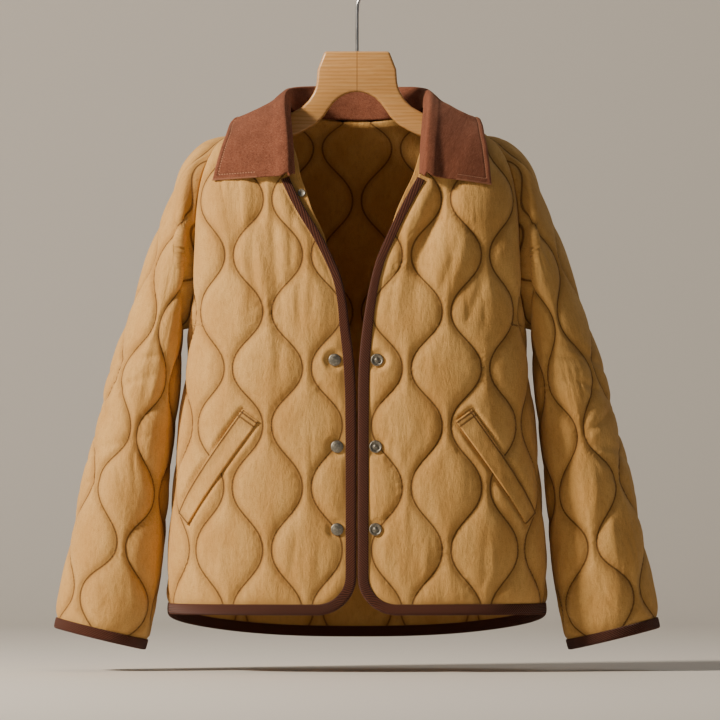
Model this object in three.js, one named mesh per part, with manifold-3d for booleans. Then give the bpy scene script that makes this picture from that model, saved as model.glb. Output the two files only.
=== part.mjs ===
// A quilted jacket on a wooden hanger, filled out as if worn, with its fronts open.
// Millimetres, +Z up, the fronts face -Y. The origin is where the hanger's hook bears on a rail.
//
// Every cloth piece is cut from flat quilted cloth, in flat coordinates: across, along and out.
// A wearing function then carries the flat piece to its place on the figure.
// Heights named "up" are measured from the hem of the fronts.

import * as THREE from "three";
import { mergeVertices } from "three/addons/utils/BufferGeometryUtils.js";
import Module from "manifold-3d";

const wasm = await Module();
wasm.setup();

// Driving sizes
const hookUp = 798; // the hook's bearing point above the fronts' hem
const seamGap = 0.4; // between two pieces at a seam
const seamThick = 2.3; // quilted cloth where it is stitched down
const loft = 6; // how far the padding rises between stitch lines
const loftReach = 9; // distance from a stitch line over which it rises
const lineStep = 47.6; // mean spacing of the quilting lines
const lineSwing = 18.5; // how far each line swings to either side
const halfWave = 68; // height of half a wave
const lowWave = { below: 230, longer: 0.09 }; // the body's waves are this share longer below a height
const frontLine = 36; // first line from the centre front
const frontWaveUp = 430; // a height where the lines nearest the centre swing outwards
const sleeveWaveUp = 47; // the same for the sleeve, above the cuff
const bindingWide = 11;
const neckNarrow = { from: 290, to: 420, share: 0.74 }; // the front binding narrows towards the neck
const bindingThick = 1.4;
const bindingGap = 0.6; // clearance of the binding round the cloth's edge
const stripWide = 13.5; // plain pressed cloth along a bound edge
const stripLap = 1; // of the quilted cloth over it
const facingThick = 2;
const hemCorner = 45; // radius of the rounded front corner
const backDrop = 31; // how far the back hem falls below the fronts'
const underarmUp = 345;
const shoulderUp = 573; // the shoulder point, where sleeve and shoulder seam meet
const neckPointUp = 603; // where the shoulder seam meets the neckline
const neckEndUp = 522; // where the neckline meets the front edge
const armholeBite = 0.2; // share of a quarter girth cut away by the armhole
const centreGap = 2.7; // half the gap between the fronts' cut edges below the neck opening
const mitreReach = 18; // width of cloth over which a wall turns to its armhole seam's direction

// Tables. Each has a row for each section, with "up" or "at" as the first column.

const bodyRows = [
  { up: -60, half: 225.5, front: 124, back: 118, frontSquare: 3.2, backSquare: 2.5 },
  { up: 0, half: 224.5, front: 122, back: 117, frontSquare: 3.2, backSquare: 2.5 },
  { up: 136, half: 217.5, front: 119, back: 115, frontSquare: 3.3, backSquare: 2.5 },
  { up: 256, half: 204.5, front: 115, back: 112, frontSquare: 3.4, backSquare: 2.6 },
  { up: 345, half: 197.5, front: 112, back: 111, frontSquare: 3.5, backSquare: 2.7 },
  { up: 430, half: 199.5, front: 109, back: 111, frontSquare: 3.4, backSquare: 2.8 },
  { up: 490, half: 198.5, front: 102, back: 107, frontSquare: 3.2, backSquare: 2.8 },
  { up: 530, half: 189.5, front: 91, back: 99, frontSquare: 3, backSquare: 2.7 },
  { up: 556, half: 174.5, front: 76, back: 87, frontSquare: 2.8, backSquare: 2.6 },
  { up: 572, half: 154.5, front: 62, back: 74, frontSquare: 2.6, backSquare: 2.5 },
  { up: 584, half: 130.5, front: 48, back: 62, frontSquare: 2.4, backSquare: 2.4 },
  { up: 594, half: 105.5, front: 34, back: 50, frontSquare: 2.3, backSquare: 2.3 },
  { up: 604, half: 80.5, front: 20, back: 38, frontSquare: 2.2, backSquare: 2.2 },
];

// The front edge: its distance from the centre on the wearer's right and left,
// and how far the facing behind it shows beyond it.
const frontEdgeRows = [
  { up: 0, right: 0, left: 0, showRight: -8, showLeft: -8 },
  { up: 255, right: 0.5, left: 0.5, showRight: -8, showLeft: -8 },
  { up: 304, right: 3, left: 2, showRight: -8, showLeft: -8 },
  { up: 346, right: 8.5, left: 6.5, showRight: -8, showLeft: -8 },
  { up: 375, right: 12, left: 11, showRight: -8, showLeft: -8 },
  { up: 402, right: 18, left: 16.5, showRight: -8, showLeft: -8 },
  { up: 428, right: 29, left: 24, showRight: -2, showLeft: -6 },
  { up: 455, right: 43, left: 36, showRight: 6, showLeft: 0 },
  { up: 484, right: 61, left: 50, showRight: 10.5, showLeft: 5 },
  { up: 508, right: 74, left: 63, showRight: 15.5, showLeft: 7.5 },
  { up: 526, right: 81, left: 73, showRight: 16, showLeft: 9 },
  { up: 548, right: 80, left: 79, showRight: 11, showLeft: 8 },
  { up: 572, right: 80, left: 80, showRight: 3, showLeft: 3 },
  { up: 590, right: 80, left: 80, showRight: -2, showLeft: -2 },
];

// The sleeve's outer and inner outline seen from the front, and its half depth and lean.
const sleeveRows = [
  { at: 0, outX: 152.5, outUp: 573, inX: 196.5, inUp: 345, depth: 58, lean: 0 },
  { at: 1, outX: 181, outUp: 559, inX: 213, inUp: 342, depth: 61, lean: 0 },
  { at: 2, outX: 203.5, outUp: 536, inX: 220.5, inUp: 334, depth: 63, lean: 0 },
  { at: 3, outX: 217.5, outUp: 503, inX: 218.5, inUp: 320, depth: 63, lean: 1 },
  { at: 4, outX: 232.5, outUp: 465, inX: 218.5, inUp: 301, depth: 62, lean: 2 },
  { at: 5, outX: 252, outUp: 410, inX: 219.5, inUp: 275, depth: 61, lean: 3 },
  { at: 6, outX: 271, outUp: 354, inX: 222, inUp: 245, depth: 60, lean: 3 },
  { at: 7, outX: 291.5, outUp: 290, inX: 227, inUp: 205, depth: 58, lean: 2 },
  { at: 8, outX: 315, outUp: 200, inX: 232, inUp: 150, depth: 56, lean: -1 },
  { at: 9, outX: 338, outUp: 98, inX: 237.5, inUp: 90, depth: 53, lean: -6 },
  { at: 10, outX: 354.5, outUp: 14, inX: 246, inUp: 11, depth: 49, lean: -11 },
  { at: 11, outX: 361.5, outUp: -18, inX: 259, inUp: -43, depth: 47, lean: -13 },
];

// The collar: neckline point, the roll above it, and the outer edge on the wearer's right and left.
const collarRows = [
  { at: 0, neckX: 77, neckUp: 524, rollX: 84, rollY: -108, rollUp: 529, rightX: 168, rightUp: 516, leftX: 157, leftUp: 511 },
  { at: 1, neckX: 79, neckUp: 552, rollX: 85, rollY: -86, rollUp: 569, rightX: 161, rightUp: 544, leftX: 154, leftUp: 541 },
  { at: 2, neckX: 81, neckUp: 580, rollX: 88, rollY: -50, rollUp: 602, rightX: 152, rightUp: 567, leftX: 149, leftUp: 565 },
  { at: 3, neckX: 82, neckUp: 603, rollX: 88, rollY: -4, rollUp: 625, rightX: 141, rightUp: 580, leftX: 140, leftUp: 580 },
  { at: 4, neckX: 76, neckUp: 599, rollX: 79, rollY: 38, rollUp: 632, rightX: 124, rightUp: 556, leftX: 124, leftUp: 556 },
  { at: 5, neckX: 55, neckUp: 594, rollX: 57, rollY: 62, rollUp: 634, rightX: 92, rightUp: 536, leftX: 92, leftUp: 536 },
  { at: 6, neckX: 28, neckUp: 591, rollX: 29, rollY: 74, rollUp: 635, rightX: 46, rightUp: 526, leftX: 46, leftUp: 526 },
  { at: 7, neckX: 0, neckUp: 590, rollX: 0, rollY: 78, rollUp: 635, rightX: 0, rightUp: 523, leftX: 0, leftUp: 523 },
];

// The largest soft folds of the fronts: place across and up, lean, width, reach and depth.
const frontFolds = [
  { side: 1, across: 92, up: 470, lean: 0.3, wide: 13, reach: 85, deep: -8 },
  { side: 1, across: 118, up: 430, lean: 0.22, wide: 16, reach: 55, deep: 4 },
  { side: -1, across: 118, up: 470, lean: 0.02, wide: 11, reach: 70, deep: -4 },
  { side: -1, across: 100, up: 440, lean: 0.04, wide: 10, reach: 90, deep: -3 },
  { side: -1, across: 150, up: 450, lean: -0.05, wide: 12, reach: 80, deep: -3 },
];

const welt = { across: 173, up: 175, long: 155, wide: 24, tilt: 36, thick: 3.2 };
const weltSeat = 2.6; // thickness of the pressed cloth under a welt
const snap = { fromRight: 21, fromLeft: 19.4, capR: 7.6, capThick: 2.8, postR: 2.4, backR: 6.2, backThick: 1.8 };
const snapUps = [101, 200, 304];
const facingSnapUp = 505; // on the wearer's right only
const snapSeat = 2.2; // thickness of the pressed cloth at a snap
const collarThick = 3.2;
const hanger = { thick: 15, tip: 150 };
const hookWire = { r: 2.1, bend: 24, stemTop: 742, tip: 205 };

// Smooth value of a table's column: a cubic through its rows.
function column(rows, name, x) {
  const key = "at" in rows[0] ? "at" : "up";
  let i = rows.findIndex((r) => r[key] > x);
  if (i < 0) i = rows.length - 1;
  i = Math.max(1, i);
  const slope = (j) => {
    const a = rows[Math.max(0, j - 1)], b = rows[Math.min(rows.length - 1, j + 1)];
    return (b[name] - a[name]) / (b[key] - a[key]);
  };
  const p = rows[i - 1], q = rows[i];
  const w = q[key] - p[key], t = THREE.MathUtils.clamp((x - p[key]) / w, 0, 1);
  const t2 = t * t, t3 = t2 * t;
  return (2 * t3 - 3 * t2 + 1) * p[name] + (t3 - 2 * t2 + t) * w * slope(i - 1) +
    (3 * t2 - 2 * t3) * q[name] + (t3 - t2) * w * slope(i);
}

const mix = (a, b, t) => a + (b - a) * t;
const soft = (t) => THREE.MathUtils.smoothstep(t, 0, 1);
const radians = THREE.MathUtils.degToRad;

// Numbers spread evenly from a to b, both ends included.
function spread(a, b, count) {
  return Array.from({ length: count + 1 }, (_, i) => mix(a, b, i / count));
}

// The figure

const girthSteps = 120;
const ringCache = new Map();

// A quarter of the body's level ring from the centre front or back to the side, with lengths.
function quarterRing(up, back) {
  const key = (back ? "b" : "f") + up.toFixed(3);
  if (!ringCache.has(key)) {
    const a = column(bodyRows, "half", up);
    const b = column(bodyRows, back ? "back" : "front", up);
    const n = column(bodyRows, back ? "backSquare" : "frontSquare", up);
    const ring = [];
    let length = 0;
    for (const angle of spread(0, Math.PI / 2, girthSteps)) {
      const r = ((Math.cos(angle) / b) ** n + (Math.sin(angle) / a) ** n) ** (-1 / n);
      const x = r * Math.sin(angle), y = (back ? 1 : -1) * r * Math.cos(angle);
      const last = ring[ring.length - 1];
      if (last) length += Math.hypot(x - last.x, y - last.y);
      ring.push({ x, y, length });
    }
    ringCache.set(key, ring);
  }
  return ringCache.get(key);
}

const quarterLength = (up, back) => quarterRing(up, back)[girthSteps].length;

// Point of the ring at a length from its centre; past the side it goes on straight.
function onRing(up, back, length) {
  const ring = quarterRing(up, back);
  let i = 1;
  while (i < girthSteps && ring[i].length < length) i++;
  const p = ring[i - 1], q = ring[i];
  const t = (length - p.length) / (q.length - p.length);
  return new THREE.Vector3(mix(p.x, q.x, t), mix(p.y, q.y, t), up);
}

// Length across the cloth at which the ring reaches a given distance from the centre.
function acrossAt(up, back, x) {
  const ring = quarterRing(up, back);
  const i = Math.max(1, ring.findIndex((p) => p.x >= x));
  const p = ring[i - 1], q = ring[i];
  return mix(p.length, q.length, (x - p.x) / (q.x - p.x));
}

// Length along the cloth from the hem, up the middle of the front or back, and its inverse.
const alongRows = [false, true].map((back) => {
  let along = -60;
  return spread(-60, 604, 332).map((up, i, ups) => {
    const depth = (u) => column(bodyRows, back ? "back" : "front", u);
    if (i) along += Math.hypot(up - ups[i - 1], depth(up) - depth(ups[i - 1]));
    return { up, along };
  });
});

function along(up, back) {
  const rows = alongRows[+back], f = (up + 60) / 2;
  const i = THREE.MathUtils.clamp(Math.floor(f), 0, rows.length - 2);
  return mix(rows[i].along, rows[i + 1].along, f - i);
}

function upAt(length, back) {
  const rows = alongRows[+back];
  const i = THREE.MathUtils.clamp(rows.findIndex((r) => r.along > length), 1, rows.length - 1);
  const p = rows[i - 1], q = rows[i];
  return mix(p.up, q.up, (length - p.along) / (q.along - p.along));
}

// The front's cut edge across the cloth at a height.
function frontEdge(side, up) {
  const away = column(frontEdgeRows, side < 0 ? "right" : "left", up) + centreGap;
  return acrossAt(up, false, away);
}

// A gentle fold's depth at a place on the cloth.
function foldDepth(side, s, h) {
  return frontFolds.filter((f) => f.side === side).reduce((sum, f) => {
    const rise = (h - f.up) / f.reach;
    const across = (s - f.across - f.lean * (h - f.up)) / f.wide;
    return sum + f.deep * Math.exp(-across * across - rise * rise);
  }, 0);
}

// The cloth's outward direction at a place, from the slopes of its face.
function outward(face, s, h) {
  const step = 0.6;
  const dS = face(s + step, h).sub(face(s - step, h));
  const dH = face(s, h + step).sub(face(s, h - step));
  return dS.cross(dH).normalize();
}

const bodyFace = (back) => (s, h) => onRing(upAt(h, back), back, s);
const bodyOut = (back, s, h) => outward(bodyFace(back), s, h).multiplyScalar(back ? -1 : 1);

// The armhole seam on the flat cloth, nearest to a place, with the mitre its walls share.
function nearSeam(back, s, h) {
  let best = { distance: Infinity };
  const points = seamPoints[+back];
  for (let i = 1; i < points.length; i++) {
    const p = points[i - 1], q = points[i];
    const ds = q.s - p.s, dh = q.h - p.h;
    const t = THREE.MathUtils.clamp(((s - p.s) * ds + (h - p.h) * dh) / (ds * ds + dh * dh), 0, 1);
    const distance = Math.hypot(s - p.s - t * ds, h - p.h - t * dh);
    if (distance < best.distance) best = { distance, out: p.out.clone().lerp(q.out, t) };
  }
  return best;
}

// Padding is pressed down near a seam or a binding, at a distance from it.
const pressed = (t, distance) =>
  t <= seamThick ? t : seamThick + (t - seamThick) * (1 - Math.exp(-Math.max(0.2, distance) / 7));

// Distance on the flat cloth from a body panel's seams and bound edge.
function panelMargin(side, s, h) {
  const back = side === 0, up = upAt(h, back), across = Math.abs(s);
  const seam = Math.min(nearSeam(back, across, h).distance, Math.max(0, quarterLength(up, back) - across));
  if (back) return Math.min(seam, h - along(backHemUp(across / quarterLength(up, true)), true) - bindingWide);
  const a = s - frontEdge(side, up), b = h - along(0, false), r = hemCorner;
  const bound = a < r && b < r ? r - Math.hypot(r - a, r - b) : Math.min(a, b);
  return Math.min(seam, bound - bindingWide);
}

// Point of a worn body panel: side is +1 or -1 for a front, 0 for the back.
function wear(side, s, h, t) {
  const back = side === 0, across = Math.abs(s);
  const out = bodyOut(back, across, h), seam = nearSeam(back, across, h);
  const turn = soft(1 - seam.distance / mitreReach);
  if (turn > 0) out.lerp(seam.out, turn).normalize();
  const lift = foldDepth(side, across, h) * (1 - turn);
  const p = bodyFace(back)(across, h).addScaledVector(out, t + lift);
  p.x *= back ? Math.sign(s) || 1 : side;
  return p;
}

// The armhole: share of the quarter girth that is left at a height.
function armholeShare(up) {
  const q = (up - underarmUp) / (shoulderUp - underarmUp);
  if (q <= 0 || q >= 1) return 1;
  return 1 - armholeBite * (1 - Math.abs(2 * q - 1) ** 2.4) ** (1 / 2.4);
}

// The sleeve

const sleeveEnd = sleeveRows.length - 1;
const armSteps = 66;
const columnCache = new Map();

// Point of the armhole at an angle round the sleeve: 0 at the shoulder, 180 under the arm.
function armholePoint(angle) {
  const back = angle < 0;
  const up = mix(underarmUp, shoulderUp, (1 + Math.cos(angle)) / 2);
  return onRing(up, back, armholeShare(up) * quarterLength(up, back));
}

function sleeveRing(angle, at) {
  const row = (name) => column(sleeveRows, name, at);
  const c = Math.cos(angle), s = Math.sin(angle);
  const outer = (1 + c) / 2;
  return new THREE.Vector3(
    mix(row("inX"), row("outX"), outer),
    row("lean") - s * row("depth"),
    mix(row("inUp"), row("outUp"), outer),
  );
}

function sleevePoint(angle, at) {
  const p = sleeveRing(angle, at);
  const keep = soft(1 - at / 2.6);
  if (keep > 0) p.addScaledVector(armholePoint(angle).sub(sleeveRing(angle, 0)), keep);
  return p;
}

// A line along the sleeve at an angle, with lengths from the cuff.
function sleeveColumn(angle) {
  const key = angle.toFixed(5);
  if (!columnCache.has(key)) {
    const line = [];
    let length = 0;
    for (const at of spread(sleeveEnd, 0, armSteps)) {
      const p = sleevePoint(angle, at), last = line[line.length - 1];
      if (last) length += p.distanceTo(last.p);
      line.push({ p, length, at });
    }
    columnCache.set(key, line);
  }
  return columnCache.get(key);
}

// Half the sleeve's width, cut flat, at a height above the cuff.
const sleeveHalf = (h) => mix(155, 196, soft(THREE.MathUtils.clamp(h / 380, 0, 1)));

function sleeveFace(s, h) {
  const line = sleeveColumn((Math.PI * s) / sleeveHalf(h));
  let i = 1;
  while (i < armSteps && line[i].length < h) i++;
  const p = line[i - 1], q = line[i];
  return p.p.clone().lerp(q.p, (h - p.length) / (q.length - p.length));
}

const sleeveOut = (s, h) => outward(sleeveFace, s, h).negate();

// Down the armhole seam from the underarm to the shoulder: place and shared direction.
const seamPoints = [false, true].map((back) => spread(Math.PI, 0, 24).map((angle) => {
  const up = mix(underarmUp, shoulderUp, (1 + Math.cos(angle)) / 2);
  const s = armholeShare(up) * quarterLength(up, back), h = along(up, back);
  const signed = back ? -angle : angle, top = sleeveColumn(signed).at(-1).length;
  const sleeveSide = sleeveOut((signed / Math.PI) * sleeveHalf(top), top);
  return { s, h, out: bodyOut(back, s, h).add(sleeveSide).normalize() };
}));

function wearSleeve(side, s, h, t) {
  const angle = (Math.PI * s) / sleeveHalf(h), points = seamPoints[angle < 0 ? 1 : 0];
  const out = sleeveOut(s, h), down = sleeveColumn(angle).at(-1).length - h;
  const turn = soft(1 - down / mitreReach);
  if (turn > 0) {
    const f = THREE.MathUtils.clamp((1 - Math.abs(angle) / Math.PI) * 24, 0, 23.999);
    const i = Math.floor(f);
    out.lerp(points[i].out.clone().lerp(points[i + 1].out, f - i), turn).normalize();
  }
  const p = sleeveFace(s, h).addScaledVector(out, t);
  p.x *= side;
  return p;
}

// Making solids

// A closed solid from points and the polygons between them.
function solid(points, polygons) {
  const index = [];
  for (const poly of polygons) {
    for (let i = 2; i < poly.length; i++) index.push(poly[0], poly[i - 1], poly[i]);
  }
  const g = new THREE.BufferGeometry();
  g.setAttribute("position", new THREE.Float32BufferAttribute(points.flatMap((p) => p.toArray()), 3));
  g.setIndex(index);
  return fromGeometry(g);
}

function fromGeometry(geometry) {
  const g = geometry.clone();
  g.deleteAttribute("normal");
  g.deleteAttribute("uv");
  const m = mergeVertices(g, 1e-4);
  const flip = signedVolume(m) < 0, triVerts = new Uint32Array(m.index.array);
  for (let i = 0; flip && i < triVerts.length; i += 3) {
    [triVerts[i + 1], triVerts[i + 2]] = [triVerts[i + 2], triVerts[i + 1]];
  }
  const vertProperties = new Float32Array(m.attributes.position.array);
  return new wasm.Manifold(new wasm.Mesh({ numProp: 3, vertProperties, triVerts }));
}

function signedVolume(g) {
  const at = (i) => new THREE.Vector3().fromBufferAttribute(g.attributes.position, g.index.getX(i));
  let volume = 0;
  for (let i = 0; i < g.index.count; i += 3) volume += at(i).dot(at(i + 1).cross(at(i + 2)));
  return volume;
}

// A manifold's mesh with each point moved by a function.
function toGeometry(made, move = (p) => p) {
  const mesh = made.getMesh(), points = [];
  for (let i = 0; i < mesh.numVert; i++) {
    const at = i * mesh.numProp;
    points.push(...move(new THREE.Vector3(...mesh.vertProperties.slice(at, at + 3))).toArray());
  }
  const g = new THREE.BufferGeometry();
  g.setAttribute("position", new THREE.Float32BufferAttribute(points, 3));
  const tri = new Uint32Array(mesh.triVerts);
  g.setIndex(new THREE.BufferAttribute(tri, 1));
  if (signedVolume(g) < 0) {
    for (let i = 0; i < tri.length; i += 3) [tri[i + 1], tri[i + 2]] = [tri[i + 2], tri[i + 1]];
  }
  return g;
}

// A solid between rows of sections: each section is a closed loop of points.
function loft3(sections, closed = false) {
  const n = sections[0].length, polygons = [], rows = sections.length;
  for (let i = 0; i < rows - (closed ? 0 : 1); i++) {
    const next = (i + 1) % rows;
    for (let j = 0; j < n; j++) {
      const k = (j + 1) % n;
      polygons.push([i * n + j, i * n + k, next * n + k], [i * n + j, next * n + k, next * n + j]);
    }
  }
  return { points: sections.flat(), polygons };
}

// A loft with flat caps, each cap given as triangles of a section's points.
function cappedLoft(sections, cap) {
  const { points, polygons } = loft3(sections);
  const n = sections[0].length, last = (sections.length - 1) * n;
  for (const tri of cap) {
    polygons.push([...tri].reverse());
    polygons.push(tri.map((i) => i + last));
  }
  return { points, polygons };
}

// Flat quilted cloth. The flat space is dished a little, so that no two faces lie in one plane.
const dish = (s, h) => 1e-4 * (s * s + h * h);

// Solid between two heights over a grid of flat points.
function gridSolid(columns, rows, place, low, high) {
  const points = [], polygons = [], n = columns.length, m = rows.length;
  for (const level of [low, high]) {
    for (const r of rows) {
      for (const c of columns) {
        const [s, h] = place(c, r);
        points.push(new THREE.Vector3(s, h, level(s, h, c, r)));
      }
    }
  }
  const id = (level, i, j) => (level * m + j) * n + i;
  for (let j = 0; j + 1 < m; j++) {
    for (let i = 0; i + 1 < n; i++) {
      const square = (l) => [id(l, i, j), id(l, i + 1, j), id(l, i + 1, j + 1), id(l, i, j + 1)];
      polygons.push(square(0).reverse(), square(1));
    }
  }
  const wall = (i, j, i2, j2) => {
    polygons.push([id(0, i, j), id(0, i2, j2), id(1, i2, j2), id(1, i, j)]);
  };
  for (let i = 0; i + 1 < n; i++) {
    wall(i, 0, i + 1, 0);
    wall(i + 1, m - 1, i, m - 1);
  }
  for (let j = 0; j + 1 < m; j++) {
    wall(0, j + 1, 0, j);
    wall(n - 1, j, n - 1, j + 1);
  }
  return solid(points, polygons);
}

// The wave of a quilting line at a height, from -1 to 1.
function wave(h, zero) {
  const low = zero === quiltAlong ? lowWave.longer * Math.max(0, lowWave.below - h) : 0;
  const a = (Math.PI * (h + low - zero)) / halfWave;
  return 1.03 * Math.cos(a) - 0.03 * Math.cos(3 * a);
}

// Quilted cloth over a rectangle of flat cloth, its lines starting at a given place.
function quiltedCloth(box, firstLine, zero) {
  const shares = [0, 0.25, 0.75];
  const linePlace = (k, h) => firstLine + k * lineStep + (k % 2 ? -1 : 1) * lineSwing * wave(h, zero);
  const first = Math.floor((box.left - firstLine) / lineStep) - 1;
  const last = Math.ceil((box.right - firstLine) / lineStep) + 1;
  const columns = [];
  for (let k = first; k < last; k++) shares.forEach((f) => columns.push({ k, f }));
  columns.push({ k: last, f: 0 });
  const rowStep = halfWave / 3;
  const rows = spread(0, Math.ceil((box.top - box.bottom) / rowStep) + 1, Math.ceil((box.top - box.bottom) / rowStep) + 1)
    .map((i) => zero + (Math.floor((box.bottom - zero) / rowStep) + i) * rowStep);
  const place = (c, h) => [mix(linePlace(c.k, h), linePlace(c.k + 1, h), c.f), h];
  const rise = (s, h, c) => {
    const cell = linePlace(c.k + 1, h) - linePlace(c.k, h);
    const near = Math.min(c.f, 1 - c.f) * cell;
    return seamThick + loft * (1 - Math.exp(-near / loftReach)) + dish(s, h);
  };
  const top = gridSolid(columns, rows, place, () => -80, rise);
  const across = spread(box.left - 60, box.right + 60, Math.round((box.right - box.left + 120) / 32));
  const up = spread(box.bottom - 60, box.top + 60, Math.round((box.top - box.bottom + 120) / 44));
  const under = gridSolid(across, up, (s, h) => [s, h], dish, () => 300);
  return top.intersect(under);
}

// A prism over a flat outline, between two levels.
function prism(outline, from = -70, to = 200) {
  const shape = new THREE.Shape(outline.map(([s, h]) => new THREE.Vector2(s, h)));
  const g = new THREE.ExtrudeGeometry(shape, { depth: to - from, bevelEnabled: false });
  g.translate(0, 0, from);
  return fromGeometry(g);
}

// A plain pressed strip along an edge: the edge, the binding's inner edge and the strip's.
function pressedStrip(stations) {
  const reach = [0, bindingWide, stripWide];
  const high = (s, h) => dish(s, h) + seamThick;
  return gridSolid([0, 1, 2], stations, (i, st) => inset(st, reach[i]), dish, high);
}

const inset = (st, d) => [st.s + st.inS * d, st.h + st.inH * d];

// Cloth pressed flat under a grid of places, as under a welt.
function press(cloth, columns, rows, place, thick) {
  return cloth.subtract(gridSolid(columns, rows, place, (s, h) => dish(s, h) + thick, () => 300));
}

// A round hole, or a seat when it starts at a height.
function bore(cloth, [s, h], r, count, from = -80) {
  const place = (i, a) => [s + r * i * Math.cos(a), h + r * i * Math.sin(a)];
  const points = [], polygons = [], ring = spread(0, 2 * Math.PI, count).slice(1);
  for (const level of [0, 1]) {
    for (const a of ring) {
      const [x, y] = place(1, a);
      points.push(new THREE.Vector3(x, y, level ? 300 : dish(x, y) + from));
    }
  }
  polygons.push(ring.map((_, i) => i).reverse(), ring.map((_, i) => i + count));
  ring.forEach((_, i) => {
    const k = (i + 1) % count;
    polygons.push([i, k, k + count, i + count]);
  });
  return cloth.subtract(solid(points, polygons));
}

// The fronts

const frontHem = along(0, false);

// Stations along a front's bound edge, from the neck down the opening and round to the side.
function frontStations(side) {
  const stations = [], cornerAlong = frontHem + hemCorner;
  const end = (h) => frontEdge(side, upAt(h, false));
  for (const h of spread(along(neckEndUp, false), cornerAlong, 23)) {
    const slope = (end(h + 1) - end(h - 1)) / 2, size = Math.hypot(1, slope);
    const narrow = soft((upAt(h, false) - neckNarrow.from) / (neckNarrow.to - neckNarrow.from));
    stations.push({ s: end(h), h, inS: 1 / size, inH: -slope / size, share: mix(1, neckNarrow.share, narrow) });
  }
  const centre = end(cornerAlong) + hemCorner;
  for (const a of spread(0, Math.PI / 2, 5).slice(1)) {
    const inS = Math.cos(a), inH = Math.sin(a);
    stations.push({ s: centre - hemCorner * inS, h: cornerAlong - hemCorner * inH, inS, inH });
  }
  for (const s of spread(centre, seamAt(0, false), 8).slice(1)) {
    stations.push({ s, h: frontHem, inS: 0, inH: 1 });
  }
  return seamStation(stations, false);
}

// Where a body panel's cut edge lies across the cloth at a height on its side.
const seamAt = (up, back) => armholeShare(up) * quarterLength(up, back) - 0.8 * seamGap;

// The last station's inward way follows the side seam.
function seamStation(stations, back) {
  const last = stations.at(-1), up = upAt(last.h + stripWide, back);
  last.inS = Math.sign(last.s) * (seamAt(up, back) - Math.abs(last.s)) / stripWide;
  last.inH = 1;
  return stations;
}

// Heights down a body panel's seams: side seam, armhole and shoulder.
const seamUps = [
  ...spread(30, underarmUp - 15, 7),
  ...spread(Math.PI, 0, 18).map((a) => mix(underarmUp, shoulderUp, (1 + Math.cos(a)) / 2)),
  ...spread(shoulderUp, neckPointUp, 4).slice(1),
];
const seamEdge = (back) => seamUps.map((up) => [seamAt(up, back), along(up, back)]);

// The neckline of a body panel at the collar's stations.
const neckEdge = (back, stations) => stations.map((at) => {
  const up = column(collarRows, "neckUp", at);
  return [acrossAt(up, back, column(collarRows, "neckX", at)), along(up, back)];
});

// A flat quilted point, pressed at the edges and carried to its place.
function wearQuilted(side, p) {
  return wear(side, p.x, p.y, pressed(p.z - dish(p.x, p.y), panelMargin(side, p.x, p.y)));
}

function front(side) {
  const stations = frontStations(side);
  const bound = stations.map((st) => inset(st, stripWide - stripLap)).reverse();
  const core = [...bound, ...neckEdge(false, [1, 2]), ...seamEdge(false).reverse()];
  const box = { left: -10, right: 300, bottom: -10, top: along(neckPointUp, false) + 10 };
  let cloth = quiltedCloth(box, frontLine, quiltAlong).intersect(prism(core));
  cloth = cloth.add(pressedStrip(stations));
  for (const at of snapPlaces(side)) {
    cloth = bore(cloth, at, snap.capR + 1.4, 8, snapSeat - 0.1);
    cloth = bore(cloth, at, snap.postR + 0.9, 6);
  }
  const seat = weltGrid(1);
  cloth = press(cloth, seat.across, seat.down, weltFrame, weltSeat);
  return toGeometry(cloth, (p) => wearQuilted(side, p));
}

// The quilting's height is given on the figure; along the cloth it lies a little further on.
const quiltAlong = along(frontWaveUp, false);

const snapPlaces = (side) =>
  snapUps.map((up) => [frontEdge(side, up) + (side < 0 ? snap.fromRight : snap.fromLeft), along(up, false)]);

// A place on the slanted welt: b across it and a along it, downwards.
function weltFrame(b, a) {
  const t = radians(welt.tilt), s0 = welt.across, h0 = along(welt.up, false);
  return [s0 + a * Math.sin(t) + b * Math.cos(t), h0 - a * Math.cos(t) + b * Math.sin(t)];
}

const weltGrid = (margin) => ({
  across: spread(-welt.wide / 2 - margin, welt.wide / 2 + margin, 1),
  down: spread(-welt.long / 2 - margin, welt.long / 2 + margin, 7),
});

function weltPiece(side) {
  const { across, down } = weltGrid(0), low = weltSeat + 0.6;
  const level = (t) => (s, h) => dish(s, h) + t;
  const made = gridSolid(across, down, weltFrame, level(low), level(low + welt.thick));
  return toGeometry(made, (p) => wear(side, p.x, p.y, p.z - dish(p.x, p.y)));
}

// The facing behind a front's edge, from the neck to where it goes out of sight.
function facing(side) {
  const ups = spread(588, 414, 12), name = side < 0 ? "showRight" : "showLeft";
  const rows = ups.map((up) => ({ up, h: along(up, false), end: frontEdge(side, up) }));
  const place = (f, r) => {
    const show = column(frontEdgeRows, name, r.up);
    const hidden = 15 * soft((600 - r.up) / 20);
    return [r.end + mix(-show, Math.max(hidden, 3 - show), f), r.h];
  };
  const low = -bindingGap - bindingThick - 0.8 - facingThick;
  const level = (t) => (s, h) => dish(s, h) + t;
  const made = gridSolid([0, 0.5, 1], rows, place, level(low), level(low + facingThick));
  return toGeometry(made, (p) => wear(side, p.x, p.y, p.z - dish(p.x, p.y)));
}

// A binding folded over a cloth edge: a U of a section round the edge at each station.
function bindingSections(stations, place) {
  const g = bindingGap, b = bindingThick, top = seamThick + g;
  const profile = [
    [bindingWide, top], [bindingWide, top + b], [-g - b, top + b], [-g - b, -g - b],
    [bindingWide, -g - b], [bindingWide, -g], [-g, -g], [-g, top],
  ];
  return stations.map((st) => profile.map(([d, t]) => place(...inset(st, d > 0 ? d * (st.share ?? 1) : d), t)));
}

const uCap = [[0, 1, 2], [0, 2, 7], [7, 2, 3], [7, 3, 6], [6, 3, 4], [6, 4, 5]];

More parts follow.
